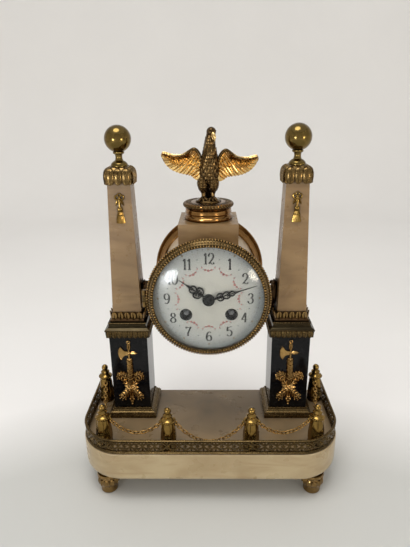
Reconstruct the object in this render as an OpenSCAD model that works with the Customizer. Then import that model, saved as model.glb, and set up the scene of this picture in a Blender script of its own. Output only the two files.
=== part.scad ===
// Portico clock: two obelisks on pedestals carry a drum clock above a railed stone slab.
// Millimetres, +Z up, the dial faces -Y, origin on the table under the middle of the clock.

/* [Overall] */
// Obelisk axis in from the end of the slab
obelisk_in = 45.1; // [42:0.1:48]
// Obelisk axis behind the front edge of the slab
obelisk_set = 79.6; // [76:0.2:82]
// Height of the drum axis above the foot of the obelisks
drum_rise = 26.8; // [25:0.1:28]

/* [Base slab and feet] */
// Slab length over the ends
slab_w = 251; // [245:0.5:270]
// Slab depth
slab_d = 107.5; // [105:0.5:115]
// Slab thickness
slab_t = 32.2; // [28:0.1:36]
// Plan radius of the two front corners
slab_front_r = 41.5; // [36:0.5:44]
// Plan radius of the two rear corners
slab_rear_r = 10; // [9:0.5:14]
// Radius of the rounded lower edge
slab_edge_r = 8; // [5:0.5:8.5]
// Height of the turned feet
foot_h = 22; // [18:0.5:26]
// Largest radius of a foot
foot_r = 10.8; // [9:0.1:12]

/* [Gallery, bollards and chains] */
// Height of the pierced gallery
gallery_h = 15; // [12:0.5:17]
// Radius of the round piercings
piercing_r = 3.9; // [2.5:0.1:4.1]
// Height of a bollard
bollard_h = 43; // [38:0.5:48]
// Radius of a bollard foot
bollard_r = 7.6; // [6.5:0.1:8.5]
// Height of the chain rings above the slab
eye_h = 26; // [24:0.5:28]
// Wire radius of a chain link
link_wire = 0.5; // [0.4:0.05:0.55]
// Straight length of a chain link
link_straight = 1.8; // [1.6:0.1:2.4]
// Centre line radius of a link end
link_bend = 1.55; // [1.5:0.05:1.8]

/* [Pedestals] */
// Half width of the plinth moulding
plinth_half = 24.5; // [23:0.1:25.5]
// Height of the plinth moulding
plinth_h = 10; // [8:0.1:12]
// Half width of the black die
die_half = 18.8; // [17.5:0.1:19.5]
// Height of the black die
die_h = 80.3; // [76:0.1:84]
// Half width of the sloping cap
cap_half = 22; // [21:0.1:22.5]
// Height of the sloping cap
cap_h = 16.2; // [15:0.1:18]
// Height of the leaf collar
collar_h = 9.5; // [8.5:0.1:11]

/* [Obelisks] */
// Half width of the obelisk at its foot
obelisk_foot = 14.1; // [13.5:0.1:14.5]
// Half width of the obelisk at its top
obelisk_top = 10.35; // [9.5:0.05:11]
// Height of the obelisk
obelisk_h = 126.8; // [120:0.1:132]
// Radius of the ball finial
ball_r = 12; // [10:0.1:13]

/* [Drum] */
// Front of the drum ahead of the obelisk axis
drum_lead = 41.6; // [40:0.1:43]
// Outer radius of the stone drum
drum_r = 47.5; // [47:0.1:48]
// Wall of the stone drum
drum_wall = 5; // [4.5:0.1:5.5]
// Depth of the stone drum
drum_d = 80; // [78:0.5:82]
// Front bezel beyond the drum
bezel_over = 8.5; // [8:0.1:9]
// Dial that shows beyond the drum
dial_over = 1.5; // [1:0.1:1.7]
// Rear ring beyond the drum
ring_over = 9.2; // [8.5:0.1:10]
// Half width of the saddle block under the eagle
block_half = 27; // [25:0.1:28]
// Height of the saddle block top above the drum axis
block_top = 63; // [60:0.5:66]
// Radius of the eagle's round plinth
eagle_plinth_r = 24.2; // [22:0.1:26]

/* [Movement and hands] */
// Sideways distance of a winding arbor from the dial centre
wind_x = 20.45; // [20:0.05:21]
// Distance of the winding arbors below the dial centre
wind_drop = 15; // [14.5:0.1:15.5]
// Length of the minute hand
minute_len = 44.5; // [40:0.5:45]
// Length of the hour hand
hour_len = 32.5; // [28:0.5:34]
// Minute hand at rest, degrees clockwise from twelve
minute_rest = 72; // [0:1:359]
// Hour hand at rest, degrees clockwise from twelve
hour_rest = 306; // [0:1:359]
// Pendulum length from the suspension pin to the bob centre
pendulum_len = 98; // [94:0.5:100]
// Radius of the pendulum bob
bob_r = 12; // [9:0.5:13]

/* [Hidden] */
$fn = 64;
// Named clearances
fit_gap = 0.2;
run_gap = 0.05;
seat_gap = 0.02;
link_gap = 0.15;
eye_gap = 0.4;
// Plan positions
rear_reach = 10;
depth_all = obelisk_set + drum_d - drum_lead + rear_reach;
slab_front = -depth_all / 2;
slab_back = slab_front + slab_d;
slab_half = slab_w / 2;
axis_x = slab_half - obelisk_in;
axis_y = slab_front + obelisk_set;
row_y0 = slab_front + slab_front_r;
row_y1 = slab_back - slab_rear_r;
// Levels
slab_top = foot_h + slab_t;
die_z = slab_top + plinth_h;
cap_z = die_z + die_h;
collar_z = cap_z + cap_h;
obelisk_z = collar_z + collar_h;
drum_z = obelisk_z + drum_rise;
leafcap_z = obelisk_z + obelisk_h;
leafcap_h = 11.6;
finial_z = leafcap_z + leafcap_h;
ball_rise = 24;
block_z = drum_z + block_top;
eagle_plinth_h = 16;
eagle_z = block_z + eagle_plinth_h;
eagle_scale = [1.08, 1.08, 1.11];
taper = (obelisk_foot - obelisk_top) / obelisk_h;
// Rods
tie_r = 2;
tie_bore = tie_r + fit_gap;
nut_r = 5;
nut_h = 4;
// Feet
foot_inset = 17;
foot_end_in = 25;
// Gallery section
gallery_wall = 1.4;
gallery_in = 2.2;
gallery_base_h = 2.6;
gallery_rail_h = 1.8;
// Bollards and chains
post_end = [slab_half - 11.5, slab_back - 17.5];
post_corner = [slab_half - 24.5, slab_front + 18];
post_front = [0.31 * slab_half, slab_front + 13];
posts = [post_front, post_corner, post_end];
bollard_xy = concat([for (i = [2:-1:0]) [-posts[i][0], posts[i][1]]], posts);
// Length of each chain over its span
chain_slack = [1.08, 1.17, 1.24, 1.17, 1.08];
eye_set = 6;
eye_bend = 2.3;
eye_wire = 0.7;
link_pitch = link_straight + 2 * link_bend - 2 * link_wire - link_gap;
joint_set = eye_set + eye_bend - eye_wire - eye_gap;
// Drum levels along Y
drum_front = -26;
drum_rear = drum_front + drum_d;
drum_y = axis_y - drum_lead - drum_front;
drum_bore = drum_r - drum_wall;
bezel_r = drum_r + bezel_over;
dial_view_r = drum_r + dial_over;
ring_r = drum_r + ring_over;
web_t = 1;
dial_r = dial_view_r + 2;
dial_t = 1.4;
dial_rise = 3.2;
dial_y = drum_front - web_t;
bezel_y = drum_front - 3;
door_y = drum_rear + 6.2;
knob_y = drum_rear + rear_reach;
door_r = ring_r - 6.7;
// Hinges
hinge_pin_r = 0.9;
hinge_x = -bezel_r - 1.9;
hinge_y = -28.2;
hinge_r = 2;
hinge_half = 2.7;
hinge_reach = 8;
knuckle_h = hinge_reach - hinge_half - 0.3;
knuckle_at = (hinge_reach + hinge_half + 0.3) / 2;
rear_hinge_x = door_r + 2.4;
rear_hinge_y = drum_rear + 7.4;
rear_hinge_r = 1.5;
// Hand and pipe levels along Y
hand_t = 0.7;
hour_hand_y = -32.9;
minute_hand_y = -34.4;
hour_pipe_r = 3.2;
minute_pipe_r = 2.2;
// Movement levels along Y
front_plate_y = -20;
back_plate_y = 18;
plate_t = 2.5;
plate_r = drum_bore - 3;
pillar_r = 2.5;
pillar_ring = plate_r - 5.5;
pillar_at = [55, 125, 255, 285];
post_ring = plate_r - 4.5;
strap_x = drum_bore - 3.9;
strap_t = 2;
strap_half = 3;
arbor_r = 2.5;
arbor_tail = 1.8;
// Wheels: tooth counts and modules
gear_m = 0.5;
barrel_n = 54;
second_pinion_n = 10;
second_wheel_n = 52;
centre_pinion_n = 12;
cannon_n = 12;
minute_wheel_n = 36;
minute_pinion_n = 10;
hour_wheel_n = 40;
minute_dist = gear_m * (cannon_n + minute_wheel_n) / 2;
hour_m = 2 * minute_dist / (minute_pinion_n + hour_wheel_n);
barrel_dist = norm([wind_x, wind_drop]);
barrel_at = -atan2(wind_drop, wind_x);
second_dist = gear_m * (second_wheel_n + centre_pinion_n) / 2;
second_reach = gear_m * (barrel_n + second_pinion_n) / 2;
second_cos = (pow(second_dist, 2) + pow(barrel_dist, 2) - pow(second_reach, 2))
  / (2 * second_dist * barrel_dist);
second_at = barrel_at + acos(second_cos);
second_x = second_dist * cos(second_at);
second_h = second_dist * sin(second_at);
// Direction from the second wheel to its barrel
to_barrel = atan2(-wind_drop - second_h, wind_x - second_x);
// Tooth phases that put the wheels in mesh
second_phase = mesh(0, centre_pinion_n, second_at, second_wheel_n);
barrel_phase = mesh(second_phase, second_pinion_n, to_barrel, barrel_n);
minute_phase = mesh(0, cannon_n, 90, minute_wheel_n);
hour_phase = mesh(minute_phase, minute_pinion_n, 270, hour_wheel_n);
// Pendulum, bell and hammer
pendulum_y = 33;
pendulum_pin_h = 28;
pendulum_pin_r = 0.8;
rod_r = 1.2;
bob_t = 7;
bell_r = drum_bore - 15.5;
bell_y = drum_rear - 2;
bell_post_x = bell_r + 4;
hammer_x = -20;
hammer_y = bell_y - 11.2;
hammer_h = -30;
hammer_dx = -bell_r - 4.5 - hammer_x;
hammer_dh = 26;

// Phase of wheel B that meshes with wheel A, B lying in direction dir from A
function mesh(a, n_a, dir, n_b) = dir + 180 - 180 / n_b + (dir - a) * n_a / n_b;

// Half width of the obelisk at a height above the table
function obelisk_half(z) = obelisk_foot - (z - obelisk_z) * taper;

// Slope angle of link i in a hanging chain of n links
function link_slope(k, i, n) = atan(k * (i - (n - 1) / 2));

// Sum of v[0] to v[i - 1]
function sum_to(v, i) = i == 0 ? 0 : v[i - 1] + sum_to(v, i - 1);

// Span of a hanging chain of n links
function chain_span(k, n) = sum_to([for (i = [0:n - 1]) link_pitch * cos(link_slope(k, i, n))], n);

// Slope step that makes n links span a given length
function chain_step(span, n, lo = 0, hi = 2, turns = 40) = turns == 0 ? (lo + hi) / 2
  : chain_span((lo + hi) / 2, n) > span
    ? chain_step(span, n, (lo + hi) / 2, hi, turns - 1)
    : chain_step(span, n, lo, (lo + hi) / 2, turns - 1);

module brass() color([0.72, 0.53, 0.24]) children();
module gilt() color([0.80, 0.60, 0.26]) children();
module bronze() color([0.34, 0.24, 0.14]) children();
module alabaster() color([0.80, 0.70, 0.55]) children();
module black_marble() color([0.06, 0.06, 0.07]) children();
module steel() color([0.55, 0.56, 0.58]) children();
module black_steel() color([0.05, 0.05, 0.06]) children();

// Put a piece at x and height h from the drum axis, y from the drum datum
module at_axis(x, y, h) translate([x, drum_y + y, drum_z + h]) children();

// Put a piece on the drum axis with its local Z pointing at the viewer
module at_drum(y) at_axis(0, y, 0) rotate([90, 0, 0]) children();

// Round bar along Y at x and height h from the drum axis
module bar_y(x, h, y0, y1, r) at_axis(x, y1, h) rotate([90, 0, 0]) cylinder(r = r, h = y1 - y0);

// Turned solid from a list of [radius, height]
module turned(points) rotate_extrude() polygon(points);

// Square counterpart of a turned solid from a list of [half width, height]
module square_turned(steps) {
  last = len(steps) - 1;
  reach = 2 * max([for (p = steps) p[0]]) + 2;
  intersection_for (turn = [0, 90])
    rotate([90, 0, turn])
      linear_extrude(reach, center = true)
        polygon(concat(steps, [for (i = [last:-1:0]) [-steps[i][0], steps[i][1]]]));
}

// Straight run of an edge section, its outside facing direction dir
module edge_bar(dir, length) rotate([0, 0, dir]) translate([0, length / 2, 0]) rotate([90, 0, 0])
  linear_extrude(length) children();

// Pointed leaf outline of length l and width w, its foot on the X axis
module leaf(l, w) polygon([[-0.3 * w, 0], [-0.5 * w, 0.3 * l], [-0.46 * w, 0.55 * l], [-0.2 * w, 0.86 * l],
  [0, l], [0.2 * w, 0.86 * l], [0.46 * w, 0.55 * l], [0.5 * w, 0.3 * l], [0.3 * w, 0]]);

// Flat strip between two points
module strip(a, b, w) translate(a) rotate(atan2(b[1] - a[1], b[0] - a[0])) translate([0, -w / 2])
  square([norm(b - a), w]);

// Flat ring
module ring2d(r, hole) difference() {
  circle(r);
  circle(hole);
}

// Toothed wheel outline with n teeth of module m, one tooth centred on angle phase
module gear2d(n, m, phase) {
  pitch = 360 / n;
  r_pitch = n * m / 2;
  flank = [[r_pitch - 1.15 * m, -0.26], [r_pitch, -0.2], [r_pitch + 0.8 * m, -0.07],
    [r_pitch + 0.8 * m, 0.07], [r_pitch, 0.2], [r_pitch - 1.15 * m, 0.26]];
  polygon([for (i = [0:n - 1]) for (f = flank)
    f[0] * [cos(phase + (i + f[1]) * pitch), sin(phase + (i + f[1]) * pitch)]]);
}

// Toothed wheel between two Y levels
module gear_y(x, h, y0, y1, n, m, phase) at_axis(x, y1, h) rotate([90, 0, 0])
  linear_extrude(y1 - y0) gear2d(n, m, phase);

module on_obelisk(side, z) translate([side * axis_x, axis_y, z]) children();

module tie_hole(h) translate([0, 0, -1]) cylinder(r = tie_bore, h = h + 2);

// Section of the slab edge, w wide from its corner centre to the outer face
module slab_section(w) {
  steps = 6;
  ease = 0.8;
  polygon(concat([[0, 0]],
    [for (i = [0:steps]) [w - slab_edge_r + slab_edge_r * sin(i * 90 / steps),
      slab_edge_r - slab_edge_r * cos(i * 90 / steps)]],
    [[w, slab_t - ease], [w - ease, slab_t], [0, slab_t]]));
}

module base_slab() alabaster() difference() {
  translate([0, 0, foot_h]) {
    core_half = slab_half - slab_front_r;
    translate([-core_half, row_y0, 0]) cube([2 * core_half, row_y1 - row_y0, slab_t]);
    translate([0, row_y0, 0]) edge_bar(-90, 2 * core_half) slab_section(slab_front_r);
    translate([0, row_y1, 0]) edge_bar(90, slab_w - 2 * slab_rear_r) slab_section(slab_rear_r);
    for (side = [-1, 1]) {
      translate([side * core_half, (row_y0 + row_y1) / 2, 0])
        edge_bar(side > 0 ? 0 : 180, row_y1 - row_y0) slab_section(slab_front_r);
      translate([side * core_half, row_y0, 0])
        rotate([0, 0, side > 0 ? -90 : 180])
          rotate_extrude(angle = 90) slab_section(slab_front_r);
      translate([side * (slab_half - slab_rear_r), row_y1, 0])
        rotate([0, 0, side > 0 ? 0 : 90])
          rotate_extrude(angle = 90) slab_section(slab_rear_r);
    }
  }
  for (side = [-1, 1]) on_obelisk(side, foot_h) {
    tie_hole(slab_t);
    translate([0, 0, -1]) cylinder(r = nut_r + 2, h = nut_h + 3);
  }
}

module feet() brass() {
  profile = [[0, 0], [0.70, 0], [0.75, 0.03], [0.77, 0.07], [0.74, 0.11], [0.77, 0.34], [0.80, 0.40],
    [0.92, 0.46], [1, 0.54], [0.99, 0.61], [0.90, 0.67], [0.80, 0.71], [0.80, 0.76], [0.96, 0.82], [1, 0.90],
    [0.97, 1], [0, 1]];
  for (side = [-1, 1])
    for (y = [slab_front + foot_inset, slab_back - foot_inset])
      translate([side * (slab_half - foot_end_in), y, 0])
        turned([for (p = profile) [p[0] * foot_r, p[1] * foot_h]]);
}

// Section of the gallery: base moulding, thin pierced wall and top rail
module gallery_section(r) {
  translate([r - 1.7, 0]) square([3.4, gallery_base_h]);
  translate([r - gallery_wall / 2, gallery_base_h]) square([gallery_wall, gallery_h - gallery_base_h]);
  translate([r - 1.3, gallery_h - gallery_rail_h]) square([2.6, gallery_rail_h]);
}

// One repeat of the pierced pattern: a round eye with two small holes half a repeat away
module piercing(half) {
  cylinder(r = piercing_r, h = 8, center = true);
  for (s = [-1, 1]) translate([half - 0.4, s * 2.9, 0]) cylinder(r = 1.15, h = 8, center = true);
}

module gallery_rail() brass() translate([0, 0, slab_top]) difference() {
  corner_x = slab_half - slab_front_r;
  wall_r = slab_front_r - gallery_in;
  end_len = slab_back - gallery_in - row_y0;
  union() {
    translate([0, row_y0, 0]) edge_bar(-90, 2 * corner_x) gallery_section(wall_r);
    for (side = [-1, 1]) {
      translate([side * corner_x, row_y0 + end_len / 2, 0])
        edge_bar(side > 0 ? 0 : 180, end_len) gallery_section(wall_r);
      translate([side * corner_x, row_y0, 0])
        rotate([0, 0, side > 0 ? -90 : 180])
          rotate_extrude(angle = 90) gallery_section(wall_r);
    }
  }
  hole_z = (gallery_base_h + gallery_h - gallery_rail_h) / 2;
  front_n = round(2 * corner_x / 11.2);
  corner_n = round(wall_r * PI / 2 / 12.3);
  end_n = round(end_len / 12.3);
  for (i = [0:front_n - 1])
    translate([(i + 0.5) / front_n * 2 * corner_x - corner_x, row_y0 - wall_r, hole_z])
      rotate([90, 0, 0]) piercing(corner_x / front_n);
  for (side = [-1, 1]) {
    for (i = [0:corner_n - 1])
      translate([side * corner_x, row_y0, hole_z])
        rotate([0, 0, -90 + side * (i + 0.5) * 90 / corner_n])
          translate([wall_r, 0, 0]) rotate([90, 0, 90]) piercing(wall_r * PI / 4 / corner_n);
    for (i = [0:end_n - 1])
      translate([side * (corner_x + wall_r), row_y0 + (i + 0.5) * end_len / end_n, hole_z])
        rotate([90, 0, 90]) piercing(end_len / 2 / end_n);
  }
}

// Ring that takes the end of a chain leaving bollard a towards bollard b
module chain_eye(a, b) {
  dir = (b - a) / norm(b - a);
  translate([a[0] + dir[0] * eye_set, a[1] + dir[1] * eye_set, slab_top + eye_h])
    rotate([90, 0, atan2(dir[1], dir[0])])
      rotate_extrude() translate([eye_bend, 0]) circle(eye_wire);
}

module bollard_post() {
  profile = [[0, 0], [1, 0], [1, 0.045], [0.93, 0.075], [0.90, 0.12], [0.95, 0.14], [0.95, 0.165],
    [0.86, 0.19], [0.79, 0.36], [0.71, 0.52], [0.66, 0.63], [0.78, 0.655], [0.80, 0.69], [0.72, 0.72],
    [0.52, 0.745], [0.46, 0.785], [0.60, 0.81], [0.70, 0.85], [0.68, 0.89], [0.50, 0.93], [0.26, 0.955],
    [0.22, 1], [0, 1]];
  turned([for (p = profile) [p[0] * bollard_r, p[1] * bollard_h]]);
}

module bollards() gilt() for (i = [0:len(bollard_xy) - 1]) union() {
  translate([bollard_xy[i][0], bollard_xy[i][1], slab_top]) bollard_post();
  if (i > 0) chain_eye(bollard_xy[i], bollard_xy[i - 1]);
  if (i < len(bollard_xy) - 1) chain_eye(bollard_xy[i], bollard_xy[i + 1]);
}

// One oval link, long axis X, lying in the XY plane
module link() {
  for (side = [-1, 1]) {
    translate([side * link_straight / 2, 0, 0])
      rotate([0, 0, side > 0 ? -90 : 90])
        rotate_extrude(angle = 180) translate([link_bend, 0]) circle(link_wire, $fn = 24);
    translate([-link_straight / 2, side * link_bend, 0])
      rotate([0, 90, 0]) cylinder(r = link_wire, h = link_straight, $fn = 24);
  }
}

// Swagged chain between bollards c and c + 1
module chain(c) gilt() {
  a = bollard_xy[c];
  b = bollard_xy[c + 1];
  dir = (b - a) / norm(b - a);
  span = norm(b - a) - 2 * joint_set;
  n = 2 * round((span * chain_slack[c] / link_pitch - 1) / 2) + 1;
  k = chain_step(span, n);
  slopes = [for (i = [0:n - 1]) link_slope(k, i, n)];
  runs = [for (s = slopes) link_pitch * cos(s)];
  drops = [for (s = slopes) link_pitch * sin(s)];
  translate([a[0] + dir[0] * joint_set, a[1] + dir[1] * joint_set, slab_top + eye_h])
    rotate([0, 0, atan2(dir[1], dir[0])])
      for (i = [0:n - 1])
        translate([sum_to(runs, i) + runs[i] / 2, 0, sum_to(drops, i) + drops[i] / 2])
          rotate([0, -slopes[i], 0])
            rotate([i % 2 == 0 ? 0 : 90, 0, 0])
              link();
}

module chain_left_end() chain(0);
module chain_front_left() chain(1);
module chain_front_middle() chain(2);
module chain_front_right() chain(3);
module chain_right_end() chain(4);

module plinth(side) brass() on_obelisk(side, slab_top) difference() {
  h = plinth_h;
  w = plinth_half;
  square_turned([[w, 0], [w, 0.40 * h], [w - 0.8, 0.46 * h], [w - 1.2, 0.58 * h], [w - 2.2, 0.64 * h],
    [w - 3.6, 0.74 * h], [w - 4.3, 0.86 * h], [w - 4.3, 0.95 * h], [w - 4.8, h]]);
  tie_hole(h);
}

module plinth_left() plinth(-1);
module plinth_right() plinth(1);

module die(side) black_marble() on_obelisk(side, die_z) difference() {
  translate([-die_half, -die_half, 0]) cube([2 * die_half, 2 * die_half, die_h]);
  tie_hole(die_h);
}

module die_left() die(-1);
module die_right() die(1);

// Relief pieces stand on the front of a die, local Y up from its lower edge
module on_die(side) translate([side * axis_x, axis_y - die_half, die_z]) rotate([90, 0, 0]) children();

module relief(h) linear_extrude(h) children();

// Bundle of rods with an axe and a spear point, on crossed laurel sprays
module trophy(side) gilt() on_die(side) {
  heart = 25;
  relief(2.2) strip([0, heart], [0, 72], 1.9);
  relief(2) translate([0, 67]) leaf(10, 4.6);
  relief(1.8) polygon([[-0.8, 60.5], [-0.8, 66.5], [-5, 66.8], [-9.6, 70.6], [-11.4, 66], [-11.6, 61],
    [-9.8, 56.4], [-5, 60.2]]);
  relief(1.8) polygon([[0.8, 61.6], [0.8, 65.6], [4.6, 65], [8.8, 63.2], [4.6, 62.2]]);
  relief(2) translate([0, 75.4]) ring2d(2.1, 1);
  relief(2.8) for (x = [-1.9, 0, 1.9]) strip([x, heart + 2], [x * 0.8, 57], 1.7);
  relief(3.2) for (v = [33, 43, 53]) translate([-3.3, v]) square([6.6, 2.2]);
  for (s = [-1, 1]) {
    relief(1.5) {
      strip([0, heart], [s * 11.5, 47], 1.6);
      strip([0, heart], [s * 11, 8.5], 1.8);
    }
    relief(1.9) {
      for (i = [0:3]) let (f = 0.32 + 0.21 * i) translate([s * 11.5 * f, heart + 22 * f]) {
        rotate(s * -58) leaf(6.4, 3);
        rotate(s * 8) leaf(6.4, 3);
      }
      for (i = [0:2]) let (f = 0.42 + 0.24 * i) translate([s * 11 * f, heart - 16.5 * f]) {
        rotate(s * -112) leaf(5.4, 2.8);
        rotate(s * -172) leaf(5, 2.8);
      }
    }
    relief(2.4) translate([s * 11.4, 8]) circle(2.1);
  }
  relief(1.8) translate([0, heart - 3]) rotate(180) leaf(19, 5);
  relief(2.6) for (v = [13, 7]) translate([0, v]) circle(1.9);
  relief(3) translate([0, heart]) circle(4.4);
  relief(2.2) for (i = [0:7]) translate([0, heart]) rotate(i * 45 + 22) translate([0, 2.6]) leaf(5, 3.4);
}

module trophy_left() trophy(-1);
module trophy_right() trophy(1);

module cap(side) brass() on_obelisk(side, cap_z) difference() {
  w = cap_half;
  union() {
    square_turned([[w - 2.4, 0], [w - 0.9, 0.8], [w - 0.9, 7.4], [w, 7.8], [w, 9], [w - 0.8, 9.4],
      [w - 2.6, 10.6], [w - 3.6, 12.6], [w - 4, 14.4], [w - 3.4, 14.8], [w - 3.4, cap_h]]);
    leaves = 7;
    for (turn = [0:3])
      rotate([0, 0, 90 * turn])
        for (i = [0:leaves - 1])
          translate([(i - (leaves - 1) / 2) * 5.9, -w + 1, 7.6])
            rotate([90, 0, 0]) rotate([0, 0, 180]) linear_extrude(0.9) leaf(6.6, 5.2);
  }
  tie_hole(cap_h);
}

module cap_left() cap(-1);
module cap_right() cap(1);

module collar(side) brass() on_obelisk(side, collar_z) difference() {
  w = obelisk_foot + 2.6;
  union() {
    square_turned([[w, 0], [w, 1.6], [w - 1, 2.2], [w - 1.8, 4], [w - 2.2, collar_h]]);
    leaves = 5;
    for (turn = [0:3])
      rotate([0, 0, 90 * turn])
        for (i = [0:leaves - 1])
          translate([(i - (leaves - 1) / 2) * 6.2, -w + 1.8, 1])
            rotate([82, 0, 0]) linear_extrude(1.2) leaf(collar_h + 0.6, 5.6);
  }
  tie_hole(collar_h);
  translate([0, 0, collar_h])
    square_turned([[obelisk_foot + seat_gap, 0], [obelisk_half(obelisk_z + 4) + seat_gap, 4]]);
}

module collar_left() collar(-1);
module collar_right() collar(1);

module obelisk(side) alabaster() on_obelisk(side, obelisk_z) difference() {
  square_turned([[obelisk_foot, 0], [obelisk_top, obelisk_h]]);
  tie_hole(obelisk_h);
}

module obelisk_left() obelisk(-1);
module obelisk_right() obelisk(1);

// Bow and tassel on the sloping front of each obelisk
module tassels() gilt() for (side = [-1, 1]) {
  foot_at = leafcap_z - 39;
  on_obelisk(side, foot_at) translate([0, -obelisk_half(foot_at), 0]) rotate([90 - atan(taper), 0, 0]) {
    linear_extrude(1.8) for (s = [-1, 1]) {
      translate([s * 2.6, 23.6]) rotate(s * -20) ring2d(2.5, 1.2);
      translate([s * 1, 22]) rotate(s * -146) leaf(6, 2.2);
    }
    linear_extrude(2.4) translate([0, 23]) circle(1.5);
    linear_extrude(1.4) translate([-0.7, 11]) square([1.4, 11]);
    linear_extrude(2.6) translate([0, 12]) circle(2.5);
    linear_extrude(2) polygon([[-2, 10.6], [-3.4, 7], [-4.2, 0.6], [-2, 1.2], [0, 0.2], [2, 1.2], [4.2, 0.6],
      [3.4, 7], [2, 10.6]]);
  }
}

module leafcap(side) gilt() on_obelisk(side, leafcap_z) difference() {
  w = obelisk_top;
  droop = 3.2;
  lean = 5;
  bulge = w + 3.1;
  leaf_top = 7.4;
  leaf_len = leaf_top + droop;
  union() {
    square_turned([[w + 0.3, 0], [bulge - 0.4, 0.9], [bulge, 4], [bulge - 0.7, 6.8], [bulge - 2.4, 9],
      [w - 1.2, leafcap_h - 0.9], [w - 2.2, leafcap_h]]);
    for (turn = [0:3]) rotate([0, 0, 90 * turn]) {
      for (i = [-1, 0, 1])
        translate([i * 7.4, -bulge + 1.1, leaf_top])
          rotate([270 - lean, 0, 0]) mirror([0, 0, 1]) linear_extrude(1.7) leaf(leaf_len, 6.6);
      rotate([0, 0, 45]) translate([0, -bulge * sqrt(2) + 3, leaf_top])
        rotate([270 - lean, 0, 0]) mirror([0, 0, 1]) linear_extrude(1.9) leaf(leaf_len, 7);
    }
  }
  tie_hole(leafcap_h);
}

module leafcap_left() leafcap(-1);
module leafcap_right() leafcap(1);

module finial(side) brass() on_obelisk(side, finial_z) difference() {
  union() {
    turned([[0, 0], [7.8, 0], [7.8, 1.2], [7.2, 2.6], [5.6, 4.2], [3.7, 5.2], [3.2, 6.4], [3.2, 9.4],
      [3.7, 10.6], [5, 11.2], [5, 12.6], [4.2, 13.2], [0, 13.2]]);
    translate([0, 0, ball_rise]) sphere(ball_r);
  }
  translate([0, 0, -1]) cylinder(r = tie_bore, h = 17);
}

module finial_left() finial(-1);
module finial_right() finial(1);

// Scroll bracket between an obelisk and the drum, heights from the drum axis
module bracket(side) bronze() translate([0, axis_y, drum_z]) mirror([side > 0 ? 0 : 1, 0, 0]) {
  gap = axis_x - obelisk_half(drum_z) - drum_r;
  low_x = axis_x - obelisk_foot - 4.5;
  face = [for (h = [1, -23]) [axis_x - obelisk_half(drum_z + h) - seat_gap, h]];
  upper = [[0.15, -0.6], [0.2, -6.4], [0.35, -12.2], [0.56, -14.2], [0.71, -10], [0.79, -4], [0.91, 1.4]];
  low_gap = low_x - drum_r;
  lower = [[0.68, -35.1], [0.36, -32.4], [0.07, -28.4]];
  tail = [[0.94, -32.4], [0.82, -37], [0.71, -40.2], [0.65, -38.8], [0.58, -34], [0.86, -19.5]];
  rotate([90, 0, 0]) difference() {
    union() {
      linear_extrude(12, center = true) polygon(concat(
        [[0.94 * drum_r, -0.4]], [for (p = upper) [drum_r + p[0] * gap, p[1]]], face,
        [[low_x + 1.8, -23.8], [low_x, -24.8], [low_x, -34.6]],
        [for (p = lower) [drum_r + p[0] * low_gap, p[1]]], [for (p = tail) [p[0] * drum_r, p[1]]]));
      translate([drum_r + 0.68 * low_gap, -30.4]) linear_extrude(15, center = true) circle(0.28 * low_gap);
      translate([drum_r + 0.77 * gap, -3.6]) linear_extrude(14, center = true) circle(2.6);
      translate([0.72 * drum_r, -37.6]) linear_extrude(14, center = true) circle(2);
    }
    cylinder(r = drum_r + seat_gap, h = 40, center = true);
  }
}

module bracket_left() bracket(-1);
module bracket_right() bracket(1);

module tie_rods() steel() for (side = [-1, 1]) on_obelisk(side, foot_h + 0.6)
  cylinder(r = tie_r, h = finial_z + 14 - foot_h - 0.6);

module tie_nuts() steel() for (side = [-1, 1]) on_obelisk(side, foot_h + 6 - nut_h) difference() {
  cylinder(r = nut_r, h = nut_h, $fn = 6);
  translate([0, 0, -1]) cylinder(r = tie_r + seat_gap, h = nut_h + 2);
}

// Stone drum with the pendulum slot below and the stud hole above
module drum_case() alabaster() difference() {
  at_drum(drum_rear) difference() {
    cylinder(r = drum_r, h = drum_d);
    translate([0, 0, -1]) cylinder(r = drum_bore, h = drum_d + 2);
  }
  at_axis(-9, pendulum_y - 5, -drum_r - 2) cube([18, 10, drum_wall + 5]);
  translate([0, axis_y, drum_z]) cylinder(r = tie_bore, h = drum_r + 5);
}

module saddle_block() alabaster() difference() {
  foot = 34;
  translate([-block_half, axis_y - block_half, drum_z + foot])
    cube([2 * block_half, 2 * block_half, block_top - foot]);
  translate([0, axis_y, drum_z]) rotate([90, 0, 0])
    cylinder(r = drum_r + seat_gap, h = 2 * block_half + 4, center = true);
  translate([0, axis_y, drum_z]) cylinder(r = tie_bore, h = block_top + 5);
}

module eagle_plinth() brass() translate([0, axis_y, block_z]) difference() {
  r = eagle_plinth_r;
  h = eagle_plinth_h;
  turned([[0, 0], [r - 2.4, 0], [r - 1.9, 1.2], [r - 1.9, 3], [r - 2.8, 3.8], [r - 3.2, 5.2], [r - 2.6, 6.2],
    [r - 2.6, 7.6], [r - 3, 8.1], [r - 2.8, 8.6], [r - 2.8, 9.8], [r - 3.6, 10.8], [r - 2.4, 11.5],
    [r - 0.8, 12.2], [r, 13.2], [r, 14.6], [r - 0.8, 15.6], [r - 3, h], [0, h]]);
  tie_hole(h);
}

// Tapered limb between two points, the brick that the eagle is built of
module limb(a, ra, b, rb) hull() {
  translate(a) sphere(ra, $fn = 10);
  translate(b) sphere(rb, $fn = 10);
}

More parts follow.
